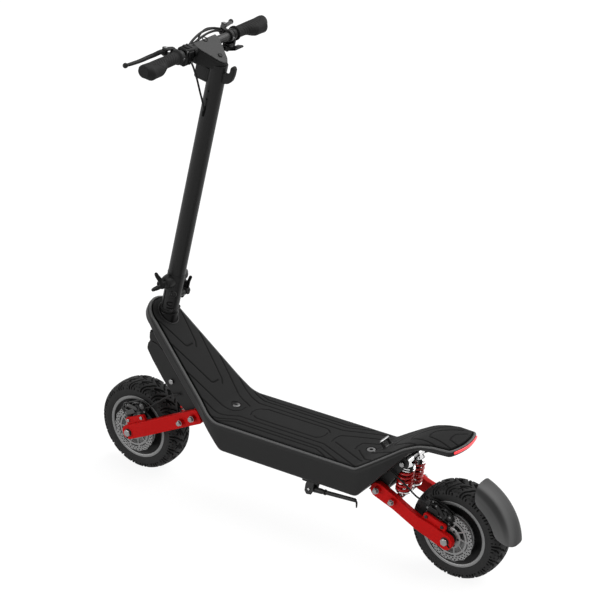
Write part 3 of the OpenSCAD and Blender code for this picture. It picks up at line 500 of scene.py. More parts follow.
rows = [halfRim + a * rimIn + b * rimUp for a, b in topSection]
down = low - rows[-1]
downLen = np.linalg.norm(down, axis=1)[:, None]
way = down / np.maximum(downLen, 1e-6)
rr = np.minimum(deck["round"], downLen * 0.45)
start, end = low - way * rr, low + rimIn * rr
rows += [rows[-1] + (start - rows[-1]) * f for f in np.linspace(0.12, 1, 7)]
rows += [((1 - f) ** 2 * start + 1.414 * f * (1 - f) * low + f * f * end)
         / ((1 - f) ** 2 + 1.414 * f * (1 - f) + f * f) for f in np.linspace(0.15, 1, 6)]
shellRows = np.stack([fullRing(r) for r in rows])
nRing = shellRows.shape[1]
shellIds = np.arange(shellRows.shape[0] * nRing).reshape(-1, nRing)
wrapped = np.hstack([shellIds, shellIds[:, :1]])
shellQuads = np.stack([wrapped[:-1, :-1], wrapped[1:, :-1], wrapped[1:, 1:], wrapped[:-1, 1:]], -1).reshape(-1, 4)
k = np.arange(1, nRing // 2 - 1)
bed, floor = shellIds[0], shellIds[-1]
middle = nRing // 2
across = [np.stack([e[k], e[k + 1], e[nRing - k - 1], e[nRing - k]], -1) for e in (bed, floor)]
tips = [np.array([[e[0], e[1], e[-1]], [e[middle], e[middle + 1], e[middle - 1]]]) for e in (bed, floor)]
shell = part(shellRows, [(shellQuads, True), (across[0], True), (across[1][:, ::-1], True), (tips[0], True),
                         (tips[1][:, ::-1], True)], shellPaint)
headTube = place(revolve([[0, 300], [25.6, 300], [25.6, 366.4], [25.0, 368.2], [23.6, 369.3], [0, 369.3]], gloss, 64),
                 alongStem)
headBoss = place(revolve([[0, 285], [32, 285], [34, 287], [34, 318], [0, 318]], paint, 56), alongStem)
# painted highlight: the bead's top and outer side get a lighter colour for the light the rounded bead catches
beadPaintedHighlight = np.zeros(len(rows))
beadPaintedHighlight[2:17] = np.exp(-((np.degrees(beadAt) - 118) / 46.0) ** 4)
shell["a"] = {"groove": np.repeat(beadPaintedHighlight, nRing)}
build("deckShell", [shell, headTube, headBoss], "deck", ["deck_shell"])
print("stage deck")

# mat: a sheet over the four edges of its outline, higher in the middle, with narrow grooves cut along lines
mat = {"inset": 10.4, "proud": 1.0, "crown": 2.2, "depth": 1.5, "half": 2.0, "edge": 1.8, "rows": 640, "columns": 110}
matHalf = halfOutline(mat["inset"])
first = int(np.argmax(matHalf[:, 1] > 47))
last = int(np.argmax(matHalf[:, 0] > deck["noseX"] - 1))
tailEdge = np.vstack([matHalf[:first + 1][::-1], matHalf[1:first + 1] * [1, -1]])
noseEdge = np.vstack([matHalf[last:], matHalf[last:-1][::-1] * [1, -1]])
leftEdge = matHalf[first:last + 1]
u = np.linspace(0, 1, mat["columns"])[None, :, None]
v = np.linspace(0, 1, mat["rows"])[:, None, None]
c0, c1 = evenly(tailEdge, mat["columns"])[None], evenly(noseEdge, mat["columns"])[None]
d0 = evenly(onTop(leftEdge), mat["rows"])[:, None, :2]
d1 = d0 * [1, -1]
flatMat = ((1 - v) * c0 + v * c1 + (1 - u) * d0 + u * d1 - (1 - u) * (1 - v) * c0[:, :1] - u * (1 - v) * c0[:, -1:]
           - (1 - u) * v * c1[:, :1] - u * v * c1[:, -1:])
tailLines = [[[-9, 34], [25, 19]], [[29, 20], [34, 6], [33, -15], [12, -33]], [[2, 54], [82, 21]],
             [[86, 20], [92, 5], [90, -14], [58, -30], [30, -45]], [[42, 61], [130, 22]],
             [[136, 21], [143, 5], [140, -14], [104, -33], [60, -58]],
             [[96, 64], [180, 22]], [[185, 20], [192, 4], [189, -15], [150, -36], [112, -60]], [[160, 78], [246, 22]],
             [[251, 20], [256, 4], [253, -12], [215, -38], [168, -74]]]
deckLines = [[[214, 86], [291, 22]], [[303, 22], [306, 4], [303, -15], [262, -36], [222, -78]],
             [[252, 67], [363, 20]],
             [[374, 22], [376.5, 4], [373, -16], [350, -28], [252, -70]],
             [[408, -8], [405.5, 5], [410, 20], [421, 28.5], [598, 28.5], [608, 27], [617, 21.5]],
             [[628, 22], [634, 8], [633, -8], [624, -20], [606, -28.5], [422, -28.5], [410, -22], [402, -13]]]
pairLines = [[[252, 96], [383, 44], [648, 44], [697, 67], [752, 82]],
             [[303, 97], [383, 62.5], [645, 62.5], [700, 90]],
             [[340, 97], [385, 75], [642, 75], [686, 95]]]
pairLines += [[[x, -y] for x, y in line] for line in pairLines]
neckLines = [[[805, 71], [712, 37], [680, 28], [663, 16], [662, -4]],
             [[657, -16], [680, -29], [712, -38], [805, -71]],
             [[866, 60], [755, 17.6], [754.5, -6]], [[745, -11], [752, -20.5], [866, -60]],
             [[908, 46], [838, 17.6], [837.5, -6]], [[829, -11], [837, -20.5], [908, -46]]]


# distance from every point to a line of straight pieces
def lineDistance(points, line):
    p = np.asarray(points, float)[..., None, :]
    a, b = np.asarray(line[:-1], float), np.asarray(line[1:], float)
    t = np.clip(((p - a) * (b - a)).sum(-1) / ((b - a) ** 2).sum(-1), 0, 1)
    return np.linalg.norm(p - a - t[..., None] * (b - a), axis=-1).min(-1)


def roundLine(line, r=9.0):
    return fillet(line, r, 4, False) if len(line) > 2 else np.array(line, float)


cut = np.full(flatMat.shape[:2], 99.0)
for line in tailLines + deckLines + pairLines + neckLines:
    cut = np.minimum(cut, lineDistance(flatMat, roundLine(line)))
carve = 1 - ease(cut, 0.45 * mat["half"], 1.25 * mat["half"])
screwX = (268, 691)
washers = np.minimum(*[np.hypot(flatMat[..., 0] - x, flatMat[..., 1]) for x in screwX])
sink = 1 - ease(washers, 11.0, 12.6)
edgeU = np.minimum(u, 1 - u)[..., 0] * np.linalg.norm(flatMat[:, -1] - flatMat[:, 0], axis=1)[:, None]
edgeV = np.minimum(v, 1 - v)[..., 0] * 1120
lip = np.clip(1 - np.minimum(edgeU, edgeV) / mat["edge"], 0, 1)
domed = mat["crown"] * (1 - (2 * u[..., 0] - 1) ** 2)
rise = mat["proud"] + domed - mat["depth"] * carve - 1.2 * sink - mat["edge"] * (1 - np.sqrt(1 - lip ** 2))
flatX = flatMat[..., 0].ravel()
matUp = upAt(flatX).reshape(*flatMat.shape[:2], 3)
matTop = np.dstack([flatMat, topZ(flatX).reshape(flatMat.shape[:2])]) + matUp * rise[..., None]
matIds = np.arange(matTop[..., 0].size).reshape(matTop.shape[:2])
matQuads = np.stack([matIds[:-1, :-1], matIds[1:, :-1], matIds[1:, 1:], matIds[:-1, 1:]], -1).reshape(-1, 4)
loop = np.r_[matIds[:, 0], matIds[-1, 1:-1], matIds[::-1, -1], matIds[0, -2:0:-1]]
flatTop, flatUp = matTop.reshape(-1, 3), matUp.reshape(-1, 3)
hem = flatTop[loop] - 5.0 * flatUp[loop]
hemIds = len(flatTop) + np.arange(len(loop))
nextIds = np.roll(np.arange(len(loop)), -1)
skirt = np.stack([loop, hemIds, hemIds[nextIds], loop[nextIds]], -1)
rowsMat, colsMat = matTop.shape[:2]
leftHem = hemIds[:rowsMat]
rightHem = hemIds[rowsMat + colsMat - 2:2 * rowsMat + colsMat - 2][::-1]
under = np.stack([leftHem[:-1], rightHem[:-1], rightHem[1:], leftHem[1:]], -1)
noseHem = hemIds[rowsMat - 1:rowsMat + colsMat - 1][None, ::-1]
tailHem = np.r_[hemIds[2 * rowsMat + colsMat - 3:], hemIds[:1]][None, ::-1]
matPart = part(np.vstack([flatTop, hem]), [(matQuads[:, ::-1], True), (skirt[:, ::-1], False),
                                           (under[:, ::-1], False), (noseHem, False), (tailHem, False)], matRubber)
# painted shade: the cut grooves, a ring round each screw's washer and the whole skirt down in the gap by the bead get
# a near-black colour
matPaintedShade = np.maximum(carve, ease(washers, 14.4, 13.2) * ease(washers, 9.5, 10.8))
matPart["a"] = {"groove": np.r_[matPaintedShade.ravel(), np.ones(len(hem))]}
build("deckMat", [matPart], "deck", ["deck_mat"], sharp=70)
screws = []
for x in screwX:
    cap = revolve([[0, -4], [11.2, -4], [11.4, -0.4], [10.6, 0.5], [6.8, 1.1], [5.2, 1.1], [4.9, -0.4], [0, -0.4]],
                  screwGrey, 40)
    # painted shade: the screw's socket is a near-black hexagon
    hexa = revolve(rod(4.4, -0.5, -0.2), paintedShadeFill, 6)
    screws += placed((cap, hexa), frameAt((x, 0, topZ(np.array([x]))[0] + 2.3)))
print("stage mat")


# a closed ring of round section along a looping path
def hoop(path, radius, finish, n, ref):
    p = np.asarray(path, float)
    t = np.roll(p, -1, 0) - np.roll(p, 1, 0)
    t = t / np.linalg.norm(t, axis=1)[:, None]
    a = np.cross(t, np.asarray(ref, float))
    a = a / np.linalg.norm(a, axis=1)[:, None]
    b = np.cross(a, t)
    th = np.arange(n) * 2 * np.pi / n
    ring = a[:, None] * np.cos(th)[None, :, None] + b[:, None] * np.sin(th)[None, :, None]
    return grid(p[:, None] + radius * ring, finish, wrapU=True, wrapV=True)


# tail: light strip round the end, and the loop that the folded stem hooks on
tailAngle = math.atan2(108, 163)
spread = np.linspace(-0.33, 0.33, 40)
lamp = {"r": 155.6, "z": 363.0, "half": 3.8}
strip = np.column_stack([deck["tailX"] - lamp["r"] * np.cos(spread), lamp["r"] * np.sin(spread),
                         np.full(40, lamp["z"])])
lampStrip = sweep(strip, lamp["half"], lampRed, 16)
outward = np.hypot(lampStrip["v"][:, 0] - deck["tailX"], lampStrip["v"][:, 1])
keepIn = (lamp["r"] + (outward - lamp["r"]) * 0.5) / outward
lampStrip["v"][:, 0] = deck["tailX"] + (lampStrip["v"][:, 0] - deck["tailX"]) * keepIn
lampStrip["v"][:, 1] *= keepIn
build("tailLamp", [lampStrip], "deck", ["tail_light"])
catchAt = frameAt((218, 0, 263 + 36 * math.tan(tailAngle) + 1.6), x=(math.cos(tailAngle), 0, -math.sin(tailAngle)),
                  z=(math.sin(tailAngle), 0, math.cos(tailAngle)))
catchParts = [block(-7, 7, -18, 18, 0, 4, 3, 1, paint)]
posts = plate(fillet([[-4, 0], [4, 0], [4, 21], [2, 24], [-2, 24], [-4, 21]], 2.0, 3), 11, 16, 1.0, paint)
catchParts += [place(posts, sideways), mirrorY(place(posts, sideways))]
catchParts += [sweep([[0, -15.5, 21], [0, -8, 21], [0, 8, 21], [0, 15.5, 21]], 3.7, boltSteel, 16, ref=(1, 0, 0))]
build("foldCatch", catchParts, "deck", ["fold_catch"], at=catchAt)

# head tube lip: the tube's round meets the sloping neck along this ellipse
th = np.arange(72) * 2 * np.pi / 72
lipR = 28.2
stemX, stemZ = np.array(alongStem["x"]), np.array(alongStem["z"])
axisAt = np.array(alongStem["o"])
ringPts = axisAt + lipR * np.cos(th)[:, None] * stemX + lipR * np.sin(th)[:, None] * np.array([0, 1, 0])
neckN = np.array([-halfRoot, 0, halfRoot])
neckAt = np.array([699.5, 0, 263.0]) + 2.6 * neckN
ringPts = ringPts + ((neckAt - ringPts) @ neckN / (stemZ @ neckN))[:, None] * stemZ
build("headLip", [hoop(ringPts, 2.2, paint, 12, neckN)], "deck")

boltSide = placed(hexBolt(7.4, 6.8, boltSteel), nested(sideways, (*shockTop["rear"], 52.5)))
rodSide = lathe(rod(5, -53, 53), boltSteel, 24, at=(*shockTop["rear"], 0))
build("deckBolts", screws + boltSide + mirrored(boltSide) + [rodSide], "deck", ["deck_fasteners"])
print("stage tail")

# wheels: the tyre's section is turned about the axle and grooves are cut inward by their distance fields
tread = {"blocks": 18, "radius": axleZ, "around": 900, "across": 100}
halfSection = np.array([[89.2, 36.4], [91, 37.6], [97, 39.2], [105, 40.0], [111, 39.7], [114.5, 39.0], [118.5, 36.6],
                        [122, 32], [124.8, 25], [126.6, 15], [127.5, 0]])
wholeSection = np.vstack([halfSection, halfSection[-2::-1] * [1, -1]])
section = evenly(smoothPath(wholeSection, 12), 400)
walk = np.linspace(-1, 1, 400) * np.linalg.norm(np.diff(section, axis=0), axis=1).sum() / 2
picks = np.r_[np.linspace(walk[0], -52, 6)[:-1], np.linspace(-52, 52, tread["across"] - 10),
              np.linspace(52, walk[-1], 6)[1:]]
section = np.stack([np.interp(picks, walk, section[:, i]) for i in range(2)], -1)
sectionWay = np.gradient(section, axis=0)
sectionOut = np.column_stack([-sectionWay[:, 1], sectionWay[:, 0]])
sectionOut = sectionOut / np.linalg.norm(sectionOut, axis=1)[:, None]
sectionOut *= np.sign((sectionOut * (section - [95, 0])).sum(1))[:, None]
pitch = 2 * np.pi * tread["radius"] / tread["blocks"]
around = np.arange(tread["around"]) * 2 * np.pi * tread["radius"] / tread["around"]
arcs, cross = np.meshgrid(around, picks, indexing="ij")
local = ((arcs / pitch + 0.5 * (cross < 0)) % 1 - 0.5) * pitch
side = np.stack([local, np.abs(cross)], -1)


def treadDistance(line):
    return np.minimum.reduce([lineDistance(side + [shift, 0], line) for shift in (-pitch, 0, pitch)])


grooves = [(treadDistance([[-4, 52], [-4, 41], [-2, 33], [3, 25], [10, 18], [14, 10], [20, 5]]), 1.9, 4.0),
           (treadDistance([[5, 52], [5, 42], [7, 36], [12, 30], [18, 27]]), 1.7, 3.6),
           (treadDistance([[15, 52], [15, 43]]), 1.7, 3.2), (treadDistance([[-14, 52], [-14, 46]]), 1.6, 3.0),
           (treadDistance([[-19, 27], [-16, 22.5], [-10, 21.5], [-7.5, 26]]), 1.5, 3.0),
           (treadDistance([[-20, 15], [-8, 6.5], [3, 1]]), 2.0, 4.0),
           (treadDistance([[-20, 15], [-15, 18], [-9, 13.5], [-2, 12]]), 1.7, 3.6)]
pits = [(np.hypot(side[..., 0] - 10, side[..., 1] - 38), 1.6, 1.8),
        (np.hypot(side[..., 0] + 13, side[..., 1] - 37), 1.6, 1.8),
        (np.hypot(side[..., 0] - 21, side[..., 1] - 37), 1.4, 1.6)]
inTread = 1 - ease(np.abs(cross), 47.5, 49.5)
depth = np.zeros_like(arcs)
for d, half, deep in grooves + pits:
    depth = np.maximum(depth, deep * (1 - ease(d, half * 0.6, half * 1.5)))
depth *= inTread
rimGroove = 0.7 * np.exp(-((np.abs(cross) - 62) / 1.4) ** 2)
cutIn = depth + rimGroove
sectionAt = section[None] - sectionOut[None] * cutIn[..., None]
theta = around / tread["radius"]
inner = np.array([[86, -30.0], [84.5, -15], [84.5, 15], [86, 30.0]])
fullSection = np.concatenate([sectionAt, np.broadcast_to(inner, (len(theta), 4, 2))], 1)
tyrePoints = np.stack([fullSection[..., 0] * np.cos(theta)[:, None], fullSection[..., 0] * np.sin(theta)[:, None],
                       fullSection[..., 1]], -1)
# painted shade: the tread grooves get a near-black colour by their depth
treadPaintedShade = np.concatenate([np.clip(depth / 1.5, 0, 1), np.zeros((len(theta), 4))], 1).ravel()
wheels = {"front": wheelbase, "rear": 0.0}

# disc: a ring with a wavy edge and three rows of small pits for its holes, painted near-black as the holes' shade, on
# spokes that lean with the turn
disc = {"face": 53.4, "thick": 2.4, "r": 66.0, "wave": 3.2, "lobes": 14}
da = np.arange(864) * 2 * np.pi / 864
outer = disc["r"] - disc["wave"] * np.abs(np.sin(disc["lobes"] * da / 2)) ** 0.8
ringR = np.linspace(0, 1, 26)
faceR = 51.4 + (outer[:, None] - 51.4) * ringR[None]
pit = np.zeros_like(faceR)
for rowR, count, turn0, hole in ((60.6, 36, 0.0, 1.8), (55.6, 36, 0.5, 1.8), (64.0, 14, 0.5, 1.3)):
    step = 2 * np.pi / count
    off = ((da / step + turn0) % 1 - 0.5) * step
    far = np.hypot(off[:, None] * rowR, faceR - rowR)
    pit = np.maximum(pit, 1 - ease(far, hole * 0.85, hole * 1.25))
discFace = np.stack([faceR * np.cos(da)[:, None], faceR * np.sin(da)[:, None], disc["face"] - 0.8 * pit], -1)
discBack = discFace[:, ::-1] * [1, 1, 0] + [0, 0, disc["face"] - disc["thick"]]
discRing = grid(np.concatenate([discFace, discBack], 1), steel, wrapU=True, wrapV=True)
# painted shade: the pits get a near-black colour
discRing["a"] = {"groove": np.concatenate([pit, 0 * pit], 1).ravel()}
carrier = revolve([[42.0, 53.0], [42.6, 53.7], [47.6, 53.7], [48.2, 53.0], [48.2, 51.0], [42.0, 51.0]], steel, 96,
                  True)
inner = revolve([[17, 51.0], [17, 53.8], [29, 53.8], [30, 53.2], [30, 51.0]], steel, 72, True)
spoke = plate(fillet([[27, -6.5], [36, -3.0], [44.5, -1.0], [44.5, 2.6], [36, 0.8], [27, 0.0]],
                     [0.5, 8, 0.5, 0.5, 8, 0.5], 3), 51.0, 53.5, 0.5, steel)
bridge = plate(rectOutline(46, -3.4, 53, 3.4, 1.0, 2), 51.2, 53.2, 0.4, steel)
discParts = [discRing, carrier, inner]
for a in np.radians(np.arange(10) * 36):
    discParts += placed((spoke, bridge), frameAt((0, 0, 0), x=(math.cos(a), math.sin(a), 0),
                                                 y=(-math.sin(a), math.cos(a), 0)))
for end, x in wheels.items():
    at = nested(sideways, (x, axleZ, 0))
    skin = grid(tyrePoints, tyreRubber, wrapU=True, wrapV=True)
    skin["a"] = {"groove": treadPaintedShade}
    build(end + "Tyre", [skin], end + "_wheel", [end + "_tyre"], sharp=60, at=at)
    band = revolve([[80.8, 35.0], [81.4, 37.2], [82.2, 37.7], [85.6, 38], [89, 38], [89.9, 37.2], [90, 30],
                    [83.6, 30], [81.4, 33]], alloy, 120, True)
    well = [[84, 36.3], [80.5, 34.8], [72, 32.5], [58, 32], [58, 29], [72, 27.5], [79, 20]]
    seat = [[84.3, -30], [82, -20], [82, 20], [84.3, 30]]
    barrel = revolve(well + [[r, -w] for r, w in well[::-1]] + seat, gloss, 120, True)
    cover = revolve([[20, 36.5], [52.4, 37.4], [52.8, 36.8], [53.6, 36.8], [54, 37.6], [57.4, 37.6], [58.5, 36.6],
                     [58.5, 27], [20, 27]], steel, 96, True)
    parts = [band, place(band, frameAt((0, 0, 0), z=(0, 0, -1))), barrel, cover]
    if end == "rear":
        parts += [revolve([[0, 30], [22, 30], [22, 31.5], [56, 31], [64, 28], [75.5, 25.5], [75.5, -25.5], [64, -28],
                           [22, -30], [0, -30]], gloss, 96)]
        parts += [revolve([[7, 31], [24, 31], [24, 49.5], [22.5, 51], [7, 51]], greyPaint, 48, True)]
    else:
        parts += [revolve([[10, 16], [24, 16], [26, 15], [60, 14], [77, 16], [77, 5], [60, 6], [26, 6], [24, -28],
                           [10, -28]], gloss, 96, True)]
        parts += [revolve([[7, 14], [24, 14], [24, 49.5], [22.5, 51], [7, 51]], greyPaint, 48, True)]
    for cx, cy in ringOutline(23, 6):
        parts += placed(capBolt(3.0, 2.2, darkBolt), frameAt((cx, cy, 53.4)))
    build(end + "Rim", parts, end + "_wheel", [end + "_rim"], at=at)
    build(end + "Disc", discParts, end + "_wheel", [end + "_disc"], at=at)
print("stage wheels")

# arms: a bar with rounded ends in side view, slimmer in its middle, stepped outward on its way to the axle
arms = {
    "front": {"p": (779.0, 232.0), "a": (wheelbase, axleZ), "low": (819.0, 208.0), "high": shockTop["front"],
              "drop": 0.0, "ends": (9.0, 18.5), "bend": (45.0, 181.0), "below": ([-30, 260], [20.5, 20]),
              "over": ([-30, 60, 150, 200, 260], [20.5, 19.5, 19.5, 20, 20]), "slot": (0.26, -0.96, 20.5),
              "tab": [(998.0, 159.5), (953.0, 180.5)], "tabBolt": boltSteel},
    "rear": {"p": (203.0, 204.0), "a": (0.0, axleZ), "low": (158.0, 185.0), "high": shockTop["rear"],
             "drop": -4.0, "ends": (20.0, 19.0), "bend": (55.0, 131.0), "below": ([-30, 260], [21, 20.5]),
             "over": ([-30, 8, 70, 125, 160, 260], [21, 21, 15.5, 15.5, 20.5, 20.5]), "slot": (-0.69, -0.73, 19.5),
             "tab": [(59.0, 175.0), (13.0, 160.0)], "tabBolt": darkBolt}}
armIn, armOut, armStep, bossOut = 53.0, 69.0, 9.5, 78.0


def armSide(spec):
    p, a = np.array(spec["p"]), np.array(spec["a"])
    long = np.linalg.norm(a - p)
    way = (a - p) / long
    norm = np.array([-way[1], way[0]])
    norm = norm if norm[1] > 0 else -norm
    r0, r1 = spec["ends"]
    lead, tail = -21.0, long + 20.5
    fan = 1 - np.cos(np.linspace(0, np.pi / 2, 10))
    s = np.r_[lead + r0 * fan, np.linspace(lead + r0 + 2, tail - r1 - 2, 60), spec["bend"], tail - r1 * fan[::-1]]
    s = np.unique(np.round(s, 4))
    fall0, fall1 = np.clip(r0 - (s - lead), 0, r0), np.clip(r1 - (tail - s), 0, r1)
    fade = np.where(s < long / 2, r0 - np.sqrt(r0 ** 2 - fall0 ** 2), r1 - np.sqrt(r1 ** 2 - fall1 ** 2))
    over, below = (np.interp(s, *spec[k]) - fade for k in ("over", "below"))
    kernel = np.hanning(9)[1:-1] / np.hanning(9)[1:-1].sum()
    mid = np.convolve(np.pad(over, 3, mode="edge"), kernel, mode="valid")
    over = np.where((s > lead + r0 + 2) & (s < tail - r1 - 2), mid, over)
    line = p + norm * spec["drop"] + s[:, None] * way
    outline = np.vstack([line - below[:, None] * norm, (line + over[:, None] * norm)[::-1]])
    body = place(plate(outline, armIn, armOut, 2.0, redPaint, 3, "pairs"), sideways)
    along = (body["v"][:, [0, 2]] - p) @ way
    b0, b1 = spec["bend"]
    body["v"][:, 1] += armStep * np.clip((along - b0) / (b1 - b0), 0, 1)
    return body


def boss(at, y0, y1, r):
    return lathe([[0, y0], [r + 1.6, y0], [r + 0.3, y0 + 1.8], [r, y1 - 0.8], [r - 0.8, y1], [0, y1]], redPaint, 48,
                 at=(*at, 0))


for end, spec in arms.items():
    bar = [armSide(spec)] + [boss(spec[k], armOut - 2, bossOut, 8.8) for k in ("p", "low")]
    b0, b1 = np.array(spec["tab"][0]), np.array(spec["tab"][1])
    a = np.array(spec["a"])
    along = (b0 - b1) / np.linalg.norm(b0 - b1)
    up = np.array([-along[1], along[0]])
    up = up if up[1] > 0 else -up
    low0, low1 = b0 - 26 * up, b1 - 26 * up
    tabLine = [b0 + 9 * along + 8 * up, b1 - 9 * along + 8 * up, low1 - 12 * along, low0 + 9 * along]
    tab = sideBlock(tabLine, 62.5, 71.5, 1.6, redPaint, [6, 6, 3, 5])
    sx, sz, reachOut = spec["slot"]
    sideWay = np.array([-sz, sx])
    slotEnd = a + np.array([sx, sz]) * reachOut
    slotFrom = a + np.array([sx, sz]) * 11.0
    halfSlot = 2.6 * sideWay
    slotLine = [slotFrom + halfSlot, slotEnd + halfSlot, slotEnd - halfSlot, slotFrom - halfSlot]
    # painted shade: the open slot at the axle end is a near-black strip through the arm
    mouth = sideBlock(slotLine, armIn + armStep - 0.1, armOut + armStep + 0.1, 0.2, paintedShadeFill)
    build(end + "ArmLeft", bar + [tab, mouth], end + "_arm", [end + "_arm_left"], sharp=30)
    build(end + "ArmRight", mirrored(bar + [mouth]), end + "_arm", [end + "_arm_right"], sharp=30)
    heads = []
    for k, face, r in (("p", bossOut, 7.4), ("low", bossOut, 6.8), ("a", 78.5, 10.4)):
        at = nested(sideways, (*spec[k], face))
        heads += [place(revolve([[0, -1], [r + 1.0, -1], [r + 1.0, 0.7], [r + 0.6, 1.2], [0, 1.2]],
                                boltSteel if k != "a" else darkBolt, 40), at)]
        heads += placed(hexBolt(r, 6.8, boltSteel), nested(at, (0, 0, 1.2)))
    through = [lathe(rod(r, -face, face), boltSteel, 24, at=(*spec[k], 0))
               for k, r, face in (("p", 7.9, 77.5), ("low", 4.9, 77.5), ("a", 5.9, 77.5))]
    small = []
    for t in spec["tab"]:
        at = nested(sideways, (*t, 71.5))
        small += placed(hexBolt(5.2, 3.4, spec["tabBolt"]), at)
    build(end + "ArmBolts", heads + mirrored(heads) + through + small, end + "_arm", [end + "_bolts"])
print("stage arms")

# shocks: turned bodies and rods with eyes, and springs as a wire along a helix
spring = {"r": 17.2, "turns": 4.9, "wire": 3.7}


def eye(h, bore):
    return lathe([[bore, -12], [8.2, -12], [9.4, -10.8], [9.4, 10.8], [8.2, 12], [bore, 12]], chrome, 40, True,
                 at=(0, h, 0))


for end, spec in arms.items():
    low, high = np.array(spec["low"]), np.array(spec["high"])
    span = np.linalg.norm(high - low)
    way = (high - low) / span
    at = {"o": (low[0], 25.0, low[1]), "x": (way[1], 0, -way[0]), "y": (0, 1, 0), "z": (way[0], 0, way[1])}
    upper = [eye(span, 5.1),
             revolve([[5.2, span - 58], [10.4, span - 58], [11, span - 57], [11, span - 24], [5.2, span - 24]], gloss,
                     40, True),
             revolve([[0, span - 26], [18.5, span - 26], [20.2, span - 25], [20.6, span - 23.8], [20.6, span - 22],
                      [19.4, span - 21], [0, span - 21]], chrome, 56),
             revolve(rod(18.0, span - 21.4, span - 18.4), gloss, 56),
             revolve([[0, span - 18.8], [19.2, span - 18.8], [20, span - 17.8], [20, span - 15.8],
                      [18.6, span - 14.4], [13, span - 13.4], [9, span - 8], [0, span - 8]], chrome, 56)]
    lower = [eye(0, 5.9),
             revolve([[0, 6], [8, 6], [8.6, 10.4], [18.6, 11.2], [20.4, 12.4], [20.4, 14.6], [19, 16], [6, 16.2],
                      [5, 17], [5, span - 53], [0, span - 53]], chrome, 48)]
    build(end + "ShockBodies", paired(upper, at), end + "_shock", [end + "_shock_bodies"])
    build(end + "ShockRods", paired(lower, at), end + "_rod", [end + "_shock_rods"])
    turn = np.linspace(0, 1, 260)
    z0, z1 = 20.0, span - 29.9
    climb = np.clip((turn - 0.06) / 0.88, 0, 1)
    wound = 2 * np.pi * spring["turns"] * turn
    coilPath = np.column_stack([spring["r"] * np.cos(wound), spring["r"] * np.sin(wound), z0 + (z1 - z0) * climb])
    coil = place(sweep(coilPath, spring["wire"], springRed, 14), at)
    pairCoil = build(end + "Springs", [coil, mirrorY(coil)], None, [end + "_springs"], rides=False)
    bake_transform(pairCoil)
print("stage shocks")

# calipers: two halves over the disc, ears to the tab, a round piston cover, a lever with its cable and spring
for end, spec in arms.items():
    b0, b1 = np.array(spec["tab"][0]), np.array(spec["tab"][1])
    mid = (b0 + b1) / 2
    along = (b0 - b1) / np.linalg.norm(b0 - b1)
    up = np.array([-along[1], along[0]])
    at = {"o": (mid[0], 0, mid[1]), "x": (along[0], 0, along[1]), "y": (0, 1, 0), "z": (up[0], 0, up[1])}
    half = np.linalg.norm(b0 - b1) / 2
    metalTone = castGrey if end == "front" else darkCast
    outline = [[-38, 9], [-42, 26], [-31, 40], [-6, 44], [22, 45], [39, 40], [45, 27], [41, 10], [20, 14], [-18, 14]]
    rounds = [4, 7, 9, 9, 9, 9, 9, 5, 5, 5]
    lobes = [sideBlock(outline, 44.5, 49.6, 1.2, metalTone, rounds),
             sideBlock(outline, 54.8, 58.4, 1.2, gloss, rounds),
             sideBlock([[-22, 35], [-22, 42], [18, 44], [18, 35]], 46, 57.6, 1.0, gloss, 2.0),
             sideBlock([[1, 13], [35, 12], [38, 19], [34, 26], [5, 27], [-1, 20]], 57.6, 62.3, 1.6, metalTone,
                       [5, 4, 5, 5, 6, 6]),
             sideBlock([[-38, 22], [-27, 18], [-21, 27], [-27, 38], [-37, 34]], 57.6, 61.4, 1.4, metalTone, 4.0),
             sideBlock([[-41, 7], [-31, 4], [-28, 16], [-37, 20]], 55, 61.0, 1.4, gloss, 3.0)]
    for s in (-1, 1):
        lobes += [sideBlock([[s * half - 8, -7], [s * half + 8, -7], [s * half + 8, 15], [s * half - 8, 15]], 54.8,
                            62.4, 1.2, gloss, 4.0)]
    for bx, bz, br in ((33, 19, 2.6), (-30, 31, 3.0), (-34, 12, 2.4), (26, 40, 2.6), (-12, 41, 2.4)):
        lobes += placed(capBolt(br, 1.8, boltSteel), nested(sideways, (bx, bz, 61.6 if bz < 35 else 58.2)))
    coverLine = [[0, 56], [10, 56], [10, 59], [9.2, 60], [9.2, 61], [10, 61.6], [9, 63], [6.6, 63], [6.2, 62],
                 [3.4, 62], [3.0, 64.4], [0, 64.4]]
    lobes += [lathe(coverLine, darkBolt, 40, at=(-13, 26, 0))]
    lobes += [lathe([[0, 55], [6.6, 55], [6.6, 62], [5.4, 63.2], [3, 63.2], [2.6, 62.2], [0, 62.2]], darkBolt, 32,
                    at=(36, 33, 0))]
    lobes += [sideBlock([[-17, 23], [-9, 21.5], [12, 34], [16, 42], [10, 45], [-12, 31.5]], 62.6, 65.2, 0.8,
                        metalTone, [3, 3, 3, 2.6, 3, 4])]
    lobes += placed(capBolt(2.4, 1.6, boltSteel), nested(sideways, (11.6, 40, 65.0)))
    lobes += [sweep([[27, 57, 32.5], [32, 56, 33.2], [37, 54, 33.5]], [3.8, 3.6, 2.9], darkBolt, 14, ref=(0, 1, 0))]
    wind = np.linspace(0, 1, 90)
    wound = 2 * np.pi * 6 * wind
    returnSpring = np.column_stack([13 + 15 * wind, 61 + 3.2 * np.cos(wound) - 2 * wind,
                                    38.5 - 4 * wind + 3.2 * np.sin(wound)])
    lobes += [sweep(returnSpring, 0.9, metalTone, 6, ref=(1, 0.2, 0))]
    lobes += [sweep(smoothPath([[22, 62, 27], [29, 61.5, 30], [32, 61, 38], [27, 61, 46], [16, 61, 48]], 6), 1.4,
                    metalTone, 8, ref=(0, 1, 0))]
    lobes += [sweep(smoothPath([[-4, 62, 28], [2, 62.5, 33], [-3, 62, 40], [-14, 61, 43], [-24, 60, 39]], 6), 1.2,
                    metalTone, 8, ref=(0, 1, 0))]
    build(end + "Caliper", lobes, end + "_arm", [end + "_caliper"], at=at)
print("stage calipers")

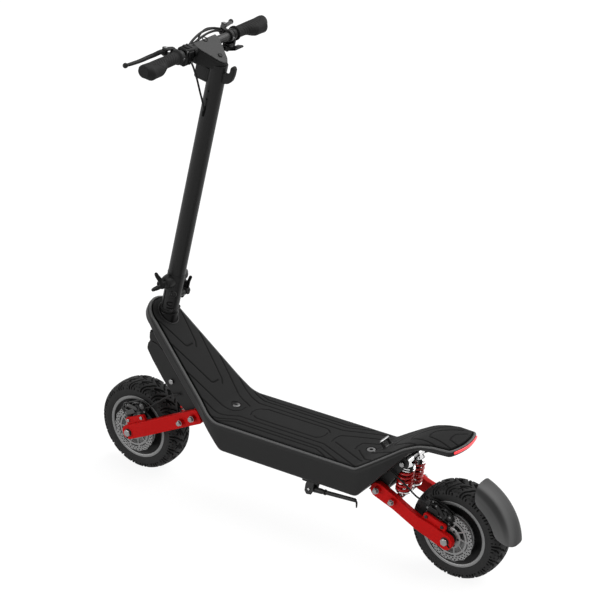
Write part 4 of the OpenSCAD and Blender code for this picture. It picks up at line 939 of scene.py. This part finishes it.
# fender: a shell bent round the tyre, its skirt drawn in at the top, with rounded corners
fender = {"r": 163.0, "from": 3.4, "to": 69.8, "thick": 2.8, "low": 48.0, "high": 40.0}
bow = 0.5 - 0.5 * np.cos(np.linspace(0, np.pi, 80))
ang = np.radians(fender["from"] + (fender["to"] - fender["from"]) * bow)
sect = smoothPath([[163, 0], [162.6, 10], [160.5, 20], [156, 28.5], [148, 34.8], [138, 38.8], [129.5, 41.6],
                   [123.5, 43.4]], 8)
sect = evenly(np.vstack([sect[::-1] * [1, -1], sect[1:]]), 61)
half = np.linspace(-1, 1, 61)
run = fender["r"] * (ang[-1] - ang[0])
endCut = np.clip(np.minimum(bow * run / fender["low"], (1 - bow) * run / fender["high"]), 0, 1)
reach = 0.14 + 0.86 * np.sqrt(np.clip(1 - (1 - endCut) ** 2, 0, 1))
arcAt = half[None] * reach[:, None]
fr = np.interp(arcAt, half, sect[:, 0])
fw = np.interp(arcAt, half, sect[:, 1])


def fenderShell(inset):
    d = np.gradient(sect, axis=0)
    out2 = np.column_stack([d[:, 1], -d[:, 0]]) / np.linalg.norm(d, axis=1)[:, None]
    nr, nw = np.interp(arcAt, half, out2[:, 0]), np.interp(arcAt, half, out2[:, 1])
    sign = np.sign(out2[30, 0])
    rAt, wAt = fr - sign * inset * nr, fw - sign * inset * nw
    return np.stack([-rAt * np.cos(ang)[:, None], wAt, axleZ + rAt * np.sin(ang)[:, None]], -1)


shellPts = np.concatenate([fenderShell(0.0), fenderShell(fender["thick"])[:, ::-1]], 1)
fenderPart = grid(shellPts, fenderGrey, wrapV=True, cap="pairs")
stay = [sideBlock([[-3, 141.5], [-16, 129.5], [-102, 187], [-94, 200]], -60, -48.5, 1.5, paint, [5, 5, 4, 4]),
        sideBlock([[-87.4, 177.2], [-79, 190], [-105, 205], [-112.6, 193.6]], -52, -45.6, 1.2, paint, [3, 3, 5, 5])]
build("fender", [fenderPart] + stay, "rear_arm", ["fender"], sharp=50)
print("stage fender")

# fork: two cheeks with a front and a rear skin, a round crown inside, and a cross tube
cheekLine = [[938, 400], [942, 383], [925, 354], [890, 304], [857, 267], [839, 248], [790, 213], [776, 210],
             [762, 218], [757, 232], [763.5, 247.5], [806, 306], [860, 370], [904, 404], [931, 409]]
cheek = sideBlock(cheekLine, 46.3, 52.5, 2.6, shellPaint, [9, 14, 60, 60, 40, 20, 12, 10, 10, 10, 14, 30, 30, 12, 6],
                  6)
skins = [[[938, 399], [941, 382], [924.5, 354.4], [889, 304.6], [886, 306.8], [921.5, 356.6], [937, 383],
          [934.5, 396]],
         [[774.5, 256.2], [900.6, 380.4], [904.1, 376.8], [778, 252.6]]]
skins = [sideBlock(k, -47, 47, 0.8, shellPaint) for k in skins]
neckSide = sideBlock([[929.5, 436], [932, 412], [906, 407.2], [872, 384], [872, 432]], 48.5, 53, 1.0, shellPaint,
                     [3, 8, 3, 3, 3], 4)
neckFront = sideBlock([[929.5, 438], [932, 412], [928, 411.4], [925.5, 437]], -51, 51, 0.6, shellPaint)
build("neckSkirt", [neckSide, mirrorY(neckSide), neckFront], "deck")
crown = place(revolve([[0, 234], [32, 234], [34, 236], [34, 275], [32, 277], [0, 277]], shellPaint, 64), alongStem)
tube = lathe(rod(17, -47, 47), shellPaint, 40, at=(*arms["front"]["p"], 0))
shaft = place(revolve(rod(15, 262, 373.5), boltSteel, 40), alongStem)
cableHole = (832, 280, 0)
holeRim = lathe([[3.2, 52.0], [6.4, 52.0], [6.2, 53.2], [5.0, 53.6], [3.2, 53.0]], plastic, 32, True, at=cableHole)
# painted shade: a near-black disc inside the cable hole's rim
holeShadeDisc = lathe(rod(4.4, 52.2, 52.8), paintedShadeFill, 24, at=cableHole)
build("fork", [cheek, mirrorY(cheek)] + skins + [crown, tube, shaft, holeRim, holeShadeDisc], "steer", ["fork"])
forkHeads = placed(hexBolt(7.6, 6.6, boltSteel), nested(sideways, (*shockTop["front"], 52.5)))
forkRod = lathe(rod(5, -52.5, 52.5), boltSteel, 24, at=(*shockTop["front"], 0))
pinSpot = (-17, 381.8)
pinAt = nested(alongStem, (pinSpot[0], 0, pinSpot[1]))
pin = place(lathe(rod(4, -18.4, 18.4), darkBolt, 32), pinAt)
build("forkBolts", forkHeads + mirrored(forkHeads) + [forkRod, pin], "steer", ["fork_bolts"])

# hinge: a lower block with its tongue, and a head that turns on the pin, with a domed cross barrel
collar = revolve([[0, 371], [23.4, 371], [24, 371.8], [24, 378.2], [23.2, 379], [0, 379]], paint, 64)
tongue = block(-6, 16, -10, 10, 378, 459, 3, 1.2, paint)
hook = block(11.5, 16, -10, 10, 455, 480, 1.6, 1.0, paint)
knuckles = [lathe([[0, 12.6], [4.6, 12.6], [5.4, 13.4], [5.4, 16.6], [4.6, 17.4], [0, 17.4]], paint, 32,
                  at=(*pinSpot, 0))]
knuckles += [mirrorY(knuckles[0])]
build("hingeBase", [collar, tongue, hook] + knuckles, "steer", ["hinge_base"], at=alongStem)


def onStem(r, angle, h):
    a = np.radians(angle)
    return np.stack([r * np.cos(a), r * np.sin(a), h + 0 * a], -1)


headParts = [revolve([[0, 380], [22.8, 380], [23.5, 380.8], [23.5, 483.6], [23.0, 485], [22.4, 485.4], [22.4, 486],
                      [0, 486]], paint, 72)]
barrelProfile = [[0, -44], [11, -44], [13.6, -42.6], [16, -38], [18.2, -29], [19, -18], [19, 18], [18.2, 29],
                 [16, 38], [13.6, 42.6], [11, 44], [0, 44]]
headParts += [lathe(barrelProfile, paint, 56, at=(4, 466, 0))]
headParts += [lathe([[0, -37], [6.6, -37], [8, -35.6], [8, 0], [0, 0]], paint, 40, at=(-10, 416, 0))]
headParts += [lathe([[0, -11.8], [6.4, -11.8], [7, -11], [7, 11], [6.4, 11.8], [0, 11.8]], paint, 32,
                    at=(*pinSpot, 0))]
# painted shade: a slit, a cup outline and a slot drawn as near-black strips on the head
slit = onStem(23.4, np.full(20, 70.0), np.linspace(384, 434, 20))
headParts += [sweep(slit, 1.5, paintedShadeFill, 8, ref=(1, 0, 0))]
cup = np.radians(np.linspace(60, 300, 24))
cupPath = onStem(23.4, 122 + np.degrees(9.0 * np.cos(cup) / 23.5), 401 + 5.6 * np.sin(cup))
headParts += [sweep(cupPath, 1.5, paintedShadeFill, 8, ref=(0, 0.1, 1))]
slotPath = onStem(23.4, np.linspace(106, 142, 14), np.full(14, 387.5))
headParts += [sweep(slotPath, 1.9, paintedShadeFill, 8)]
bossAxis = np.array([-0.59, 0.807, 0.0])
bossAt = axisFrame(bossAxis * 21 + np.array([0, 0, 432]), bossAxis)
headParts += [place(revolve([[0, 0], [10, 0], [9.6, 3.4], [8.6, 4.6], [6.4, 4.6], [6.0, 3.8], [0, 3.8]], paint, 40),
                    bossAt)]
headParts += placed(capBolt(4.2, 1.6, darkBolt), nested(bossAt, (0, 0, 3.6)))
headParts += [revolve([[22.2, 484.6], [23.8, 485.2], [24.1, 486.4], [23.8, 487.6], [22.2, 488.0]], paint, 72, True)]
build("hingeHead", headParts, "stem", ["hinge_head"], at=alongStem)


# a prong of the wing lever: a round section along a bent path, thinner towards its tip
def prong(path, radius, m):
    return sweep(smoothPath(path, 6), radius, m, 14, ref=(0, 1, 0.05))


clamp = nested(alongStem, (6, 0, 466))
knob = [lathe(rod(3.9, -53, 54), darkBolt, 28),
        lathe([[0, 44.6], [11, 44.6], [13, 45.6], [13, 53], [11.6, 56], [7, 57], [6.4, 55.6], [0, 55.6]], gloss, 40),
        lathe([[0, -53], [7, -53], [8, -52], [8, -45], [7.4, -44.6], [0, -44.6]], darkBolt, 32)]
for s in (-1, 1):
    knob += [prong([[0, 51, 3 * s], [6, 54, 12 * s], [14, 57, 20 * s], [18, 57.5, 24.5 * s]],
                   np.linspace(7.2, 4.8, 19), gloss)]
build("foldLever", knob, "fold_lever", ["fold_lever"], at=clamp)
lock = nested(alongStem, (-10, 0, 416))
lockParts = [lathe(rod(2.9, -46, -13), boltSteel, 24),
             place(plate(fillet(ringOutline(10, 6), 1.2, 3), -51.6, -38.6, 0.9, plastic), sideways),
             place(plate(fillet([[-5, -2], [5, -2], [3.4, 30], [0, 46], [-7, 47], [-8, 42], [-5, 28]],
                                [4, 4, 10, 3, 3, 3, 10], 4), -52, -47, 1.2, gloss), sideways),
             sideBlock([[19, 29], [5, 25], [0, 10], [-9, 5], [-9, -9], [2, -12], [7, -29], [14, -28], [13, -8],
                        [19, 10]], -54, -46, 1.6, gloss, 3.0, 3),
             lathe([[0, -57.4], [6, -57.4], [8.4, -56], [9.2, -53.6], [9.2, -50], [0, -50]], greyPaint, 32,
                   at=(1, 0, 0))]
build("lockLever", lockParts, "lock_lever", ["lock_lever"], at=lock)
print("stage hinge")

# stem and its head: a tube, a wedge under the panel, light, hook
tubePart = revolve([[20, 486], [22.6, 486], [23, 486.5], [23, 1101.6], [22.6, 1102], [20, 1102]], paint, 80, True)
holes = []
for h in (1031, 1008):
    r, at = 2.6, axisFrame((0, 22.4, h), (0, 1, 0))
    # painted shade: each hole is a near-black disc inside a raised ring
    holes += [place(revolve(rod(r, 0, 0.75), paintedShadeFill, 20), at)]
    holes += [place(revolve([[r - 0.1, 0], [r + 1.0, 0], [r + 0.7, 0.95], [r - 0.1, 0.95]], paint, 24, True), at)]
# painted shade: the cable entry is a near-black strip on the tube
entry = onStem(23.0, np.full(14, 86.0), np.linspace(962, 982, 14))
holes += [sweep(entry, np.linspace(3.4, 4.4, 14), paintedShadeFill, 12, ref=(1, 0, 0))]
build("stemTube", [tubePart] + holes, "stem", ["stem_tube"], at=alongStem)
barSpot = (51, 1127)
headPlan = fillet([[-18.6, -8], [-18.6, 8], [-8, 19.2], [30, 39.2], [42, 44.2], [58.5, 44.2], [58.5, -44.2],
                   [42, -44.2], [30, -39.2], [-8, -19.2]],
                  [7, 7, 14, 30, 20, 3, 3, 20, 30, 14], 5)
panelTilt = math.radians(22)
panelX, panelZ, wedgeHigh = 54, 1143.6, 20.0
wedge = plate(headPlan, 0.0, wedgeHigh, 1.2, plastic, 3)
share, wedgeX = wedge["v"][:, 2] / wedgeHigh, wedge["v"][:, 0]
wedgeTop = panelZ + (wedgeX - panelX) * math.tan(panelTilt) - 4.0
wedge["v"][:, 2] = (1092 + 0.05 * wedgeX) * (1 - share) + wedgeTop * share
clampBar = lathe([[11.2, -45], [13, -45], [13.6, -44.4], [13.6, 44.4], [13, 45], [11.2, 45]], plastic, 48, True,
                 at=(*barSpot, 0))
capSide = lathe([[11.3, 0], [13.6, 0], [13.6, 1.6], [11.3, 1.6]], darkBolt, 40, True, at=(*barSpot, 44))
build("stemHead", (wedge, clampBar, capSide), "stem", ["stem_head"], at=alongStem)
panelAt = nested(alongStem, (panelX, 0, panelZ), x=(math.cos(panelTilt), 0, math.sin(panelTilt)),
                 z=(-math.sin(panelTilt), 0, math.cos(panelTilt)))
panelLine = fillet([[-79, -6], [-79, 6], [-70, 15], [-24, 39], [-11, 44.5], [2.5, 44.5], [2.5, -44.5], [-11, -44.5],
                    [-24, -39], [-70, -15]],
                   [5, 5, 10, 30, 20, 2, 2, 20, 30, 10], 5)
panelTop = plate(panelLine, -2.6, 0, 0.9, panelGrey, 3)
buttonRing = revolve([[6.3, -1.2], [8.0, -1.2], [7.8, 1.4], [7.4, 1.7], [6.6, 1.7], [6.3, 1.4]], plastic, 40, True)
build("headPanel", (panelTop, buttonRing), "stem", ["head_panel"], at=panelAt)
button = revolve([[0, -8], [3, -8], [3, 1.25], [6, 1.25], [6, 2.0], [5.4, 2.6], [2.5, 2.3], [0, 2.2]], plastic, 40)
build("powerButton", [button], "power", ["power_button"], at=nested(panelAt, (-56, 0, 0)))
lampBox = sideBlock([[8, 1091], [8, 1052], [14, 1047], [50, 1046], [54, 1050], [54, 1086], [49, 1091]], -21.5, 21.5,
                    5.0, plastic, [2, 3, 4, 5, 5, 6, 4], 4)
forwards = facing((52.4, 0, 0), 1)
lensPart = place(block(-17, 17, 1052, 1085, 0, 3, 6, 1.4, lens), forwards)
lensRing = place(plate(rectOutline(-19, 1049.5, 19, 1087.5, 7), -4, 1.4, 1.0, gloss), forwards)
build("headlight", (lampBox, lensRing, lensPart), "stem", ["headlight"], at=alongStem)
hookLine = [[-16, 1058], [-26, 1058], [-40, 1063], [-48, 1075], [-51, 1090], [-51, 1107], [-46.5, 1113], [-41, 1112],
            [-38, 1106], [-38, 1096], [-33, 1087], [-26, 1085], [-16, 1086]]
build("carryHook", [sideBlock(hookLine, -7, 7, 2.6, plastic, [0.5, 10, 14, 14, 10, 4, 3.4, 3, 3, 8, 8, 6, 0.5], 4)],
      "stem", ["carry_hook"], at=alongStem)
print("stage head")

# bar: grips with slanted ribs, perches, levers, switch box and throttle
barAt = nested(alongStem, (barSpot[0], 0, barSpot[1]))
grips = {"left": 109.0, "right": 120.0, "end": 242.5, "palmAt": math.radians(205)}


def gripPart(y0):
    run = np.linspace(0, 1, 120)
    y = y0 + (grips["end"] - y0) * run
    stations = [y0, y0 + 1.2, y0 + 4, y0 + 9, (y0 + grips["end"]) / 2, 214.5, 230.5, 239.5, 242.2, grips["end"]]
    r = np.interp(y, stations, [17.2, 19, 19, 14.8, 15.6, 15.6, 16.6, 16.6, 15.8, 15.2])
    a = np.arange(72) * 2 * np.pi / 72
    yy, aa = np.meshgrid(y, a, indexing="ij")
    wave = yy + 7 * np.sin(aa + 0.6)
    ribs = ease(np.abs(((wave / 8.5) % 1) - 0.5), 0.30, 0.46) * ease(yy, y0 + 16, y0 + 26) * (1 - ease(yy, 205, 216))
    toPalm = np.clip(np.cos(aa - grips["palmAt"]), 0, 1)
    palm = 12.5 * toPalm ** 1.6 * ease(yy, 158, 196) * (1 - ease(yy, 226, 243))
    seam = 1 - ease(np.abs(yy - 214 + 30 * np.cos(aa - grips["palmAt"])), 0.6, 1.7)
    radius = r[:, None] + palm - 0.9 * ribs * (1 - ease(palm, 1.0, 4.0)) - 0.9 * seam
    pts = np.stack([radius * np.cos(aa), yy, radius * np.sin(aa)], -1)
    return grid(pts, gripRubber, wrapV=True, cap="flat")


build("grips", (gripPart(grips["left"]), mirrorY(gripPart(grips["right"]))), "stem", ["grips"],
      sharp=55, at=barAt)


def perchParts(y0):
    made = [lathe([[11.1, y0], [15, y0], [16, y0 + 1], [16, y0 + 10], [15, y0 + 11], [11.1, y0 + 11]], paint, 48,
                  True),
            block(6, 26, y0, y0 + 11, -5, 13, 2.5, 1.2, paint)]
    hornPlate = fillet([[19, y0], [27, y0], [34, 110], [41, 116], [41, 122], [35, 127], [26, 126], [21, 116]],
                       [2, 4, 8, 6, 6, 6, 6, 10], 4)
    made += [plate(hornPlate, -5, -0.6, 1.0, paint), plate(hornPlate, 9.6, 14, 1.0, paint)]
    made += [place(revolve([[0, -7], [4.4, -7], [4.4, -5], [2.9, -5], [2.9, 14], [4.6, 14], [4.6, 15.4], [4.0, 16],
                            [0, 16]], boltSteel, 28), frameAt((33, 119, 0)))]
    made += [sweep([[20, y0 + 4, 4.5], [23, y0 + 0.5, 4.5], [26, y0 - 3, 4.5]], [4.6, 4.6, 3.8], darkBolt, 16,
                   ref=(0, 0, 1))]
    made += placed(capBolt(3.2, 3.2, boltSteel), facing((-13.0, y0 + 5.5, 0), -1))
    return made


perches = perchParts(97) + mirrored(perchParts(93))
build("brakePerches", perches, "stem", ["brake_perches"], at=barAt)
leverPath = smoothPath([[33, 119, 4.4], [40, 128, 1], [47, 138, -6], [54, 152, -12], [60, 172, -18], [67, 196, -22.5],
                        [73, 212.5, -25.5]], 8)
leverWide = np.interp(np.linspace(0, 1, len(leverPath)), [0, 0.12, 0.4, 0.85, 1], [7.4, 7.2, 6.6, 5.4, 4.6])
leverBlade = sweep(leverPath, leverWide, paint, 18, flatten=0.8)
leverBall = place(revolve([[0, -6.9], [3.4, -6.0], [6.0, -3.4], [6.9, 0], [6.0, 3.4], [3.4, 6.0], [0, 6.9]], paint,
                          28), frameAt((74, 213, -26)))
leverHub = place(revolve([[3.1, 0.2], [6.6, 0.2], [7.5, 1.0], [7.5, 8.0], [6.6, 8.8], [3.1, 8.8]], paint, 40, True),
                 frameAt((33, 119, 0)))
lever = [leverBlade, leverBall, leverHub]
build("brakeLeverLeft", lever, "brake_left", ["brake_lever_left"], at=barAt)
build("brakeLeverRight", [place(mirrorY(g), barAt) for g in lever], "brake_right", ["brake_lever_right"])
case = [sideBlock([[-14, -27], [16, -27], [16, 19], [-14, 19]], 58, 94, 3.0, gloss, [6, 6, 8, 8], 5),
        lathe([[11.2, 48], [16, 48], [17, 49], [17, 59], [11.2, 59]], gloss, 48, True),
        block(-9, 11, 64, 70, 17.5, 20.4, 2, 0.8, darkBolt), block(-9, 11, 74, 84, 17.5, 21.2, 3, 1.0, gloss),
        lathe([[11.2, 106.2], [15.2, 106.2], [15.6, 106.6], [15.6, 108.4], [15.2, 108.8], [11.2, 108.8]], boltSteel,
              48, True),
        sideBlock([[-16.5, -2], [-12, -2], [-12, 12], [-16.5, 12]], 66, 86, 0.9, gloss, 2.0)]
for y, z in ((63, -22), (90, 14)):
    case += placed(capBolt(2.6, 1.2, boltSteel), facing((-13.4, y, z), -1))
build("switchBox", case, "stem", ["switch_box"], at=barAt)
hornCap = place(revolve([[0, 0], [4.6, 0.2], [5.4, 1.2], [5.4, 10.6], [0, 10.6]], gloss, 32),
                facing((-17, 76, -18), 1))
build("hornButton", [hornCap], "horn", ["horn_button"], at=barAt)
grasp = [lathe([[11.1, -118], [14, -118], [15, -117], [15, -107], [14, -106], [11.1, -106]], gloss, 48, True),
         sideBlock([[-13, -39], [7, -39], [7, -8], [-13, -8]], -117.5, -106.5, 1.6, gloss, 3.0),
         sideBlock([[-13, -39], [7, -39], [7, -18], [-13, -18]], -108, -88.3, 1.8, gloss, [5, 5, 3, 3]),
         lathe([[11.1, -128], [13.6, -128], [14, -127], [14, -119], [11.1, -118]], barAlloy, 48, True)]
build("throttleBody", grasp, "stem", ["throttle_body"], at=barAt)
thumb = [lathe([[0, -101], [2.9, -101], [2.9, -87.5], [7, -87.5], [8, -86.6], [8, -82], [7, -81], [0, -81]], gloss,
               32, at=(-3, -28, 0)),
         sideBlock([[-3, -34], [-24, -27.5], [-38, -20.5], [-41, -17], [-38, -13.6], [-23, -19], [-3, -22]], -87.5,
                   -81, 1.2, gloss, [4, 6, 3, 3, 3, 6, 4], 4),
         sideBlock([[-20, -28], [-38, -20.5], [-41.3, -17], [-38, -13.5], [-22, -19]], -114, -81, 2.0, gloss,
                   [3, 3, 2.4, 3, 3], 4)]
build("throttlePaddle", thumb, "throttle", ["throttle_paddle"], at=barAt)
print("stage bar")

# cables: round runs between clamps and the holes they enter
onBar = {"at": nested(alongStem, (0, 0, 1102)), "body": "stem", "node": [], "ref": (0, 0, 1)}
cableRuns = {
    "leftCable": {**onBar, "r": 2.6, "node": ["bar_cables"], "ref": (0, 1, 0),
                  "points": [[45, 60, 4], [37, 54, -12], [25, 46, -42], [14, 39, -74], [4, 31, -105], [2, 26, -122.5],
                             [2, 22, -125]]},
    "rightCable": {**onBar, "r": 2.6,
                   "points": [[78.6, -98.5, 30], [82.5, -98, 30], [91, -86, 32], [98, -62, 32], [94, -34, 25],
                              [80, -16, 16], [68, -10, 18]]},
    "hoseA": {**onBar, "r": 3.2,
              "points": [[74, -90, 36], [84, -74, 37.4], [88, -50, 37.6], [86, -24, 37.6], [80, 4, 36],
                         [73, 30, 32.6],
                         [64, 50, 30], [54, 62, 30]]},
    "hoseB": {**onBar, "r": 3.0,
              "points": [[72, -88, 32], [77, -72, 34], [79, -48, 34], [78, -20, 31], [74, 8, 28], [70, 34, 27],
                         [62, 54, 26], [56, 62, 24]]},
    "frontCable": {"r": 2.4, "at": frameAt((0, 0, 0)), "body": ("steer", "front_arm"), "node": ["front_cable"],
                   "ref": (0, 0.3, 1), "bend": (0.12, 0.9),
                   "points": [[832, 49, 280], [839, 56, 279], [868, 58, 264], [903, 57.5, 238], [934, 57, 213],
                              [954.7, 54.2, 203.6]]},
    "rearCable": {"r": 2.4, "at": frameAt((0, 0, 0)), "body": ("deck", "rear_arm"), "node": ["rear_cable"],
                  "ref": (0, 1, 0), "bend": (0.05, 0.8),
                  "points": [[173, 58, 261], [152, 57.5, 249], [131, 57, 236], [99, 56.5, 213], [75, 54, 205],
                             [58.1, 52.1, 204]]}}
for name, run in cableRuns.items():
    line = smoothPath(run["points"], 10)
    made = place(sweep(line, run["r"], cableBlack, 12, ref=run["ref"], ends=False), run["at"])
    path = (inFrame(run["at"], line) - rowShift) * 0.001
    if isinstance(run["body"], tuple):
        obj = build(name, [made], None, run["node"], rides=False)
        a, b = (path[0] + (path[-1] - path[0]) * share for share in run["bend"])
        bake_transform(obj)
    else:
        obj = build(name, [made], run["body"], run["node"])
print("stage cables")

# kickstand: a bent round leg on a bolt, under a small bracket
lean = math.radians(15)
standAt = frameAt((387, 90, 158), y=(0, math.cos(lean), math.sin(lean)), z=(0, -math.sin(lean), math.cos(lean)))
legPath = smoothPath([[-6, 5.6, 0.4], [-40, 5.6, 2.4], [-90, 5.6, 5.6], [-132, 5.6, 8.2]], 6)
legWide = np.interp(np.linspace(0, 1, len(legPath)), [0, 0.1, 0.3, 0.305, 1.0], [5.6, 7.4, 7.4, 5.8, 5.4])
leg = [sweep(legPath, legWide, paint, 18, ref=(0, 1, 0), flatten=0.8),
       lathe([[4.4, 0], [9, 0], [10, 1], [10, 8], [9, 9], [4.4, 9]], paint, 40, True),
       place(revolve([[4.0, 0], [7.2, 0], [7.6, 0.6], [7.6, 3.2], [7.2, 3.8], [4.0, 3.8]], gloss, 32, True),
             axisFrame((-42, 5.6, 2.5), (-1, 0, 0.064))),
       sweep(smoothPath([[-128, 5.6, 8.0], [-134, 5.6, 7.6], [-138, 5.6, 3.6], [-139.4, 5.6, -3], [-140, 5.6, -8]],
                        5), np.linspace(3.4, 2.0, 21), paint, 12, ref=(0, 1, 0))]
build("kickstand", leg, "kickstand", ["kickstand"], at=standAt)
standPlate = [[-8, -13], [6, -15], [13, -7], [13, 10], [9, 22], [-11, 22], [-13, -2]]
standParts = [place(block(-13, 13, -14, -0.6, -10, 11, 4, 1.6, paint), standAt),
              place(sideBlock(standPlate, 12.2, 14.6, 0.9, paint, [3, 4, 4, 4, 3, 3, 4]), standAt),
              block(375, 399, 73, 83, 160, 180, 2, 1, paint), block(361, 413, 71, 99.5, 177.2, 182.5, 4, 1.2, paint)]
standParts += [place(lathe([[0, -13], [3.9, -13], [3.9, 14.4], [3.4, 14.4], [3.4, 16.6], [3.0, 17.2], [0, 17.2]],
                           boltSteel, 32), standAt)]
build("kickstandBracket", standParts, "deck", ["kickstand_bracket"])
portAt = {"o": (600, -104, 222), "x": (1, 0, 0), "y": (0, 0, 1), "z": (0, -1, 0)}
# painted shade: the port's bore is closed by a near-black disc
port = [revolve([[5, -12], [8.9, -12], [8.9, 0.2], [12, 0.2], [12, 1.4], [11.2, 2], [6, 2], [5.2, 1.2]], plastic, 40,
                True),
        revolve(rod(5.1, -9, -8.4), paintedShadeFill, 24)]
port += [place(revolve([[0, -8.4], [0.8, -8.4], [0.8, -3.4], [0, -3]], boltSteel, 12),
               frameAt((2.2 * math.cos(a), 2.2 * math.sin(a), 0))) for a in np.radians([90, 210, 330])]
build("chargePort", port, "deck", ["charge_port"], at=portAt)
print("stage stand")

# camera and light
cam = bpy.data.objects.new("camera", bpy.data.cameras.new("camera"))
bpy.context.scene.collection.objects.link(cam)
bpy.context.scene.camera = cam
cam.data.sensor_width = 36.0
cam.data.lens = 132.371
shot = {"turn": 214.8143, "rise": 24.6468, "away": 5.5145, "at": (0.0087, 0.0, 0.6221)}
turn, rise = math.radians(shot["turn"]), math.radians(shot["rise"])
back = Vector((math.sin(turn) * math.cos(rise), -math.cos(turn) * math.cos(rise), math.sin(rise)))
cam.location = Vector(shot["at"]) + back * shot["away"]
cam.rotation_mode = "QUATERNION"
cam.rotation_quaternion = (-back).to_track_quat("-Z", "Y")
cam.data.clip_end = 100.0
studio = {"fill": 0.25, "side": 2.4, "sideFrom": (0.5, 0.86, 0.06), "top": 2.8, "topFrom": (-0.33, -0.3, 0.9),
          "rim": 1.1, "rimFrom": (-0.3, -0.85, 0.43), "paper": 0.84}


def sun(name, towards, strength, spread):
    data = bpy.data.lights.new(name, "SUN")
    data.energy = strength
    data.angle = math.radians(spread)
    o = bpy.data.objects.new(name, data)
    bpy.context.scene.collection.objects.link(o)
    o.rotation_mode = "QUATERNION"
    o.rotation_quaternion = Vector(towards).to_track_quat("Z", "Y")
    o.location = Vector(towards) * 6


for name, spread in (("side", 45), ("top", 60), ("rim", 50)):
    sun(name + "Sun", studio[name + "From"], studio[name], spread)


# one when a ray comes from the camera, a mirror or glass
def seenRay(tree):
    rays = tree.nodes.new("ShaderNodeLightPath")
    near = tree.nodes.new("ShaderNodeMath")
    near.operation = "MAXIMUM"
    both = tree.nodes.new("ShaderNodeMath")
    both.operation = "MAXIMUM"
    tree.links.new(rays.outputs["Is Camera Ray"], near.inputs[0])
    tree.links.new(rays.outputs["Is Glossy Ray"], near.inputs[1])
    tree.links.new(near.outputs["Value"], both.inputs[0])
    tree.links.new(rays.outputs["Is Transmission Ray"], both.inputs[1])
    return both.outputs["Value"]


world = bpy.data.worlds.new("studio")
bpy.context.scene.world = world
world.use_nodes = True
wt = world.node_tree
bg = wt.nodes["Background"]
bg.inputs["Color"].default_value = (1, 1, 1, 1)
pick = wt.nodes.new("ShaderNodeMix")
pick.inputs["A"].default_value = studio["fill"]
pick.inputs["B"].default_value = 1.0
wt.links.new(seenRay(wt), pick.inputs["Factor"])
wt.links.new(pick.outputs["Result"], bg.inputs["Strength"])

# floor: pale paper that shows white to the eye, with part of the light's own shading so the shadow stays
floorMesh = bpy.data.meshes.new("floor")
floorMesh.from_pydata([(-40, -40, 0), (40, -40, 0), (40, 40, 0), (-40, 40, 0)], [], [(0, 1, 2, 3)])
floorObj = bpy.data.objects.new("floor", floorMesh)
bpy.context.scene.collection.objects.link(floorObj)
floorMat = bpy.data.materials.new("floorPaper")
floorMat.use_nodes = True
ft = floorMat.node_tree
fb = ft.nodes["Principled BSDF"]
fb.inputs["Base Color"].default_value = (0.88, 0.88, 0.88, 1)
fb.inputs["Roughness"].default_value = 0.9
fb.inputs["Specular IOR Level"].default_value = 0.0
glow = ft.nodes.new("ShaderNodeEmission")
glow.inputs["Strength"].default_value = 1.08
amount = ft.nodes.new("ShaderNodeMath")
amount.operation = "MULTIPLY"
amount.inputs[1].default_value = studio["paper"]
ft.links.new(seenRay(ft), amount.inputs[0])
blendIn = ft.nodes.new("ShaderNodeMixShader")
ft.links.new(amount.outputs["Value"], blendIn.inputs[0])
ft.links.new(fb.outputs["BSDF"], blendIn.inputs[1])
ft.links.new(glow.outputs["Emission"], blendIn.inputs[2])
ft.links.new(blendIn.outputs["Shader"], ft.nodes["Material Output"].inputs["Surface"])
floorMesh.materials.append(floorMat)
bpy.context.scene.view_settings.view_transform = "Standard"
print("stage light")
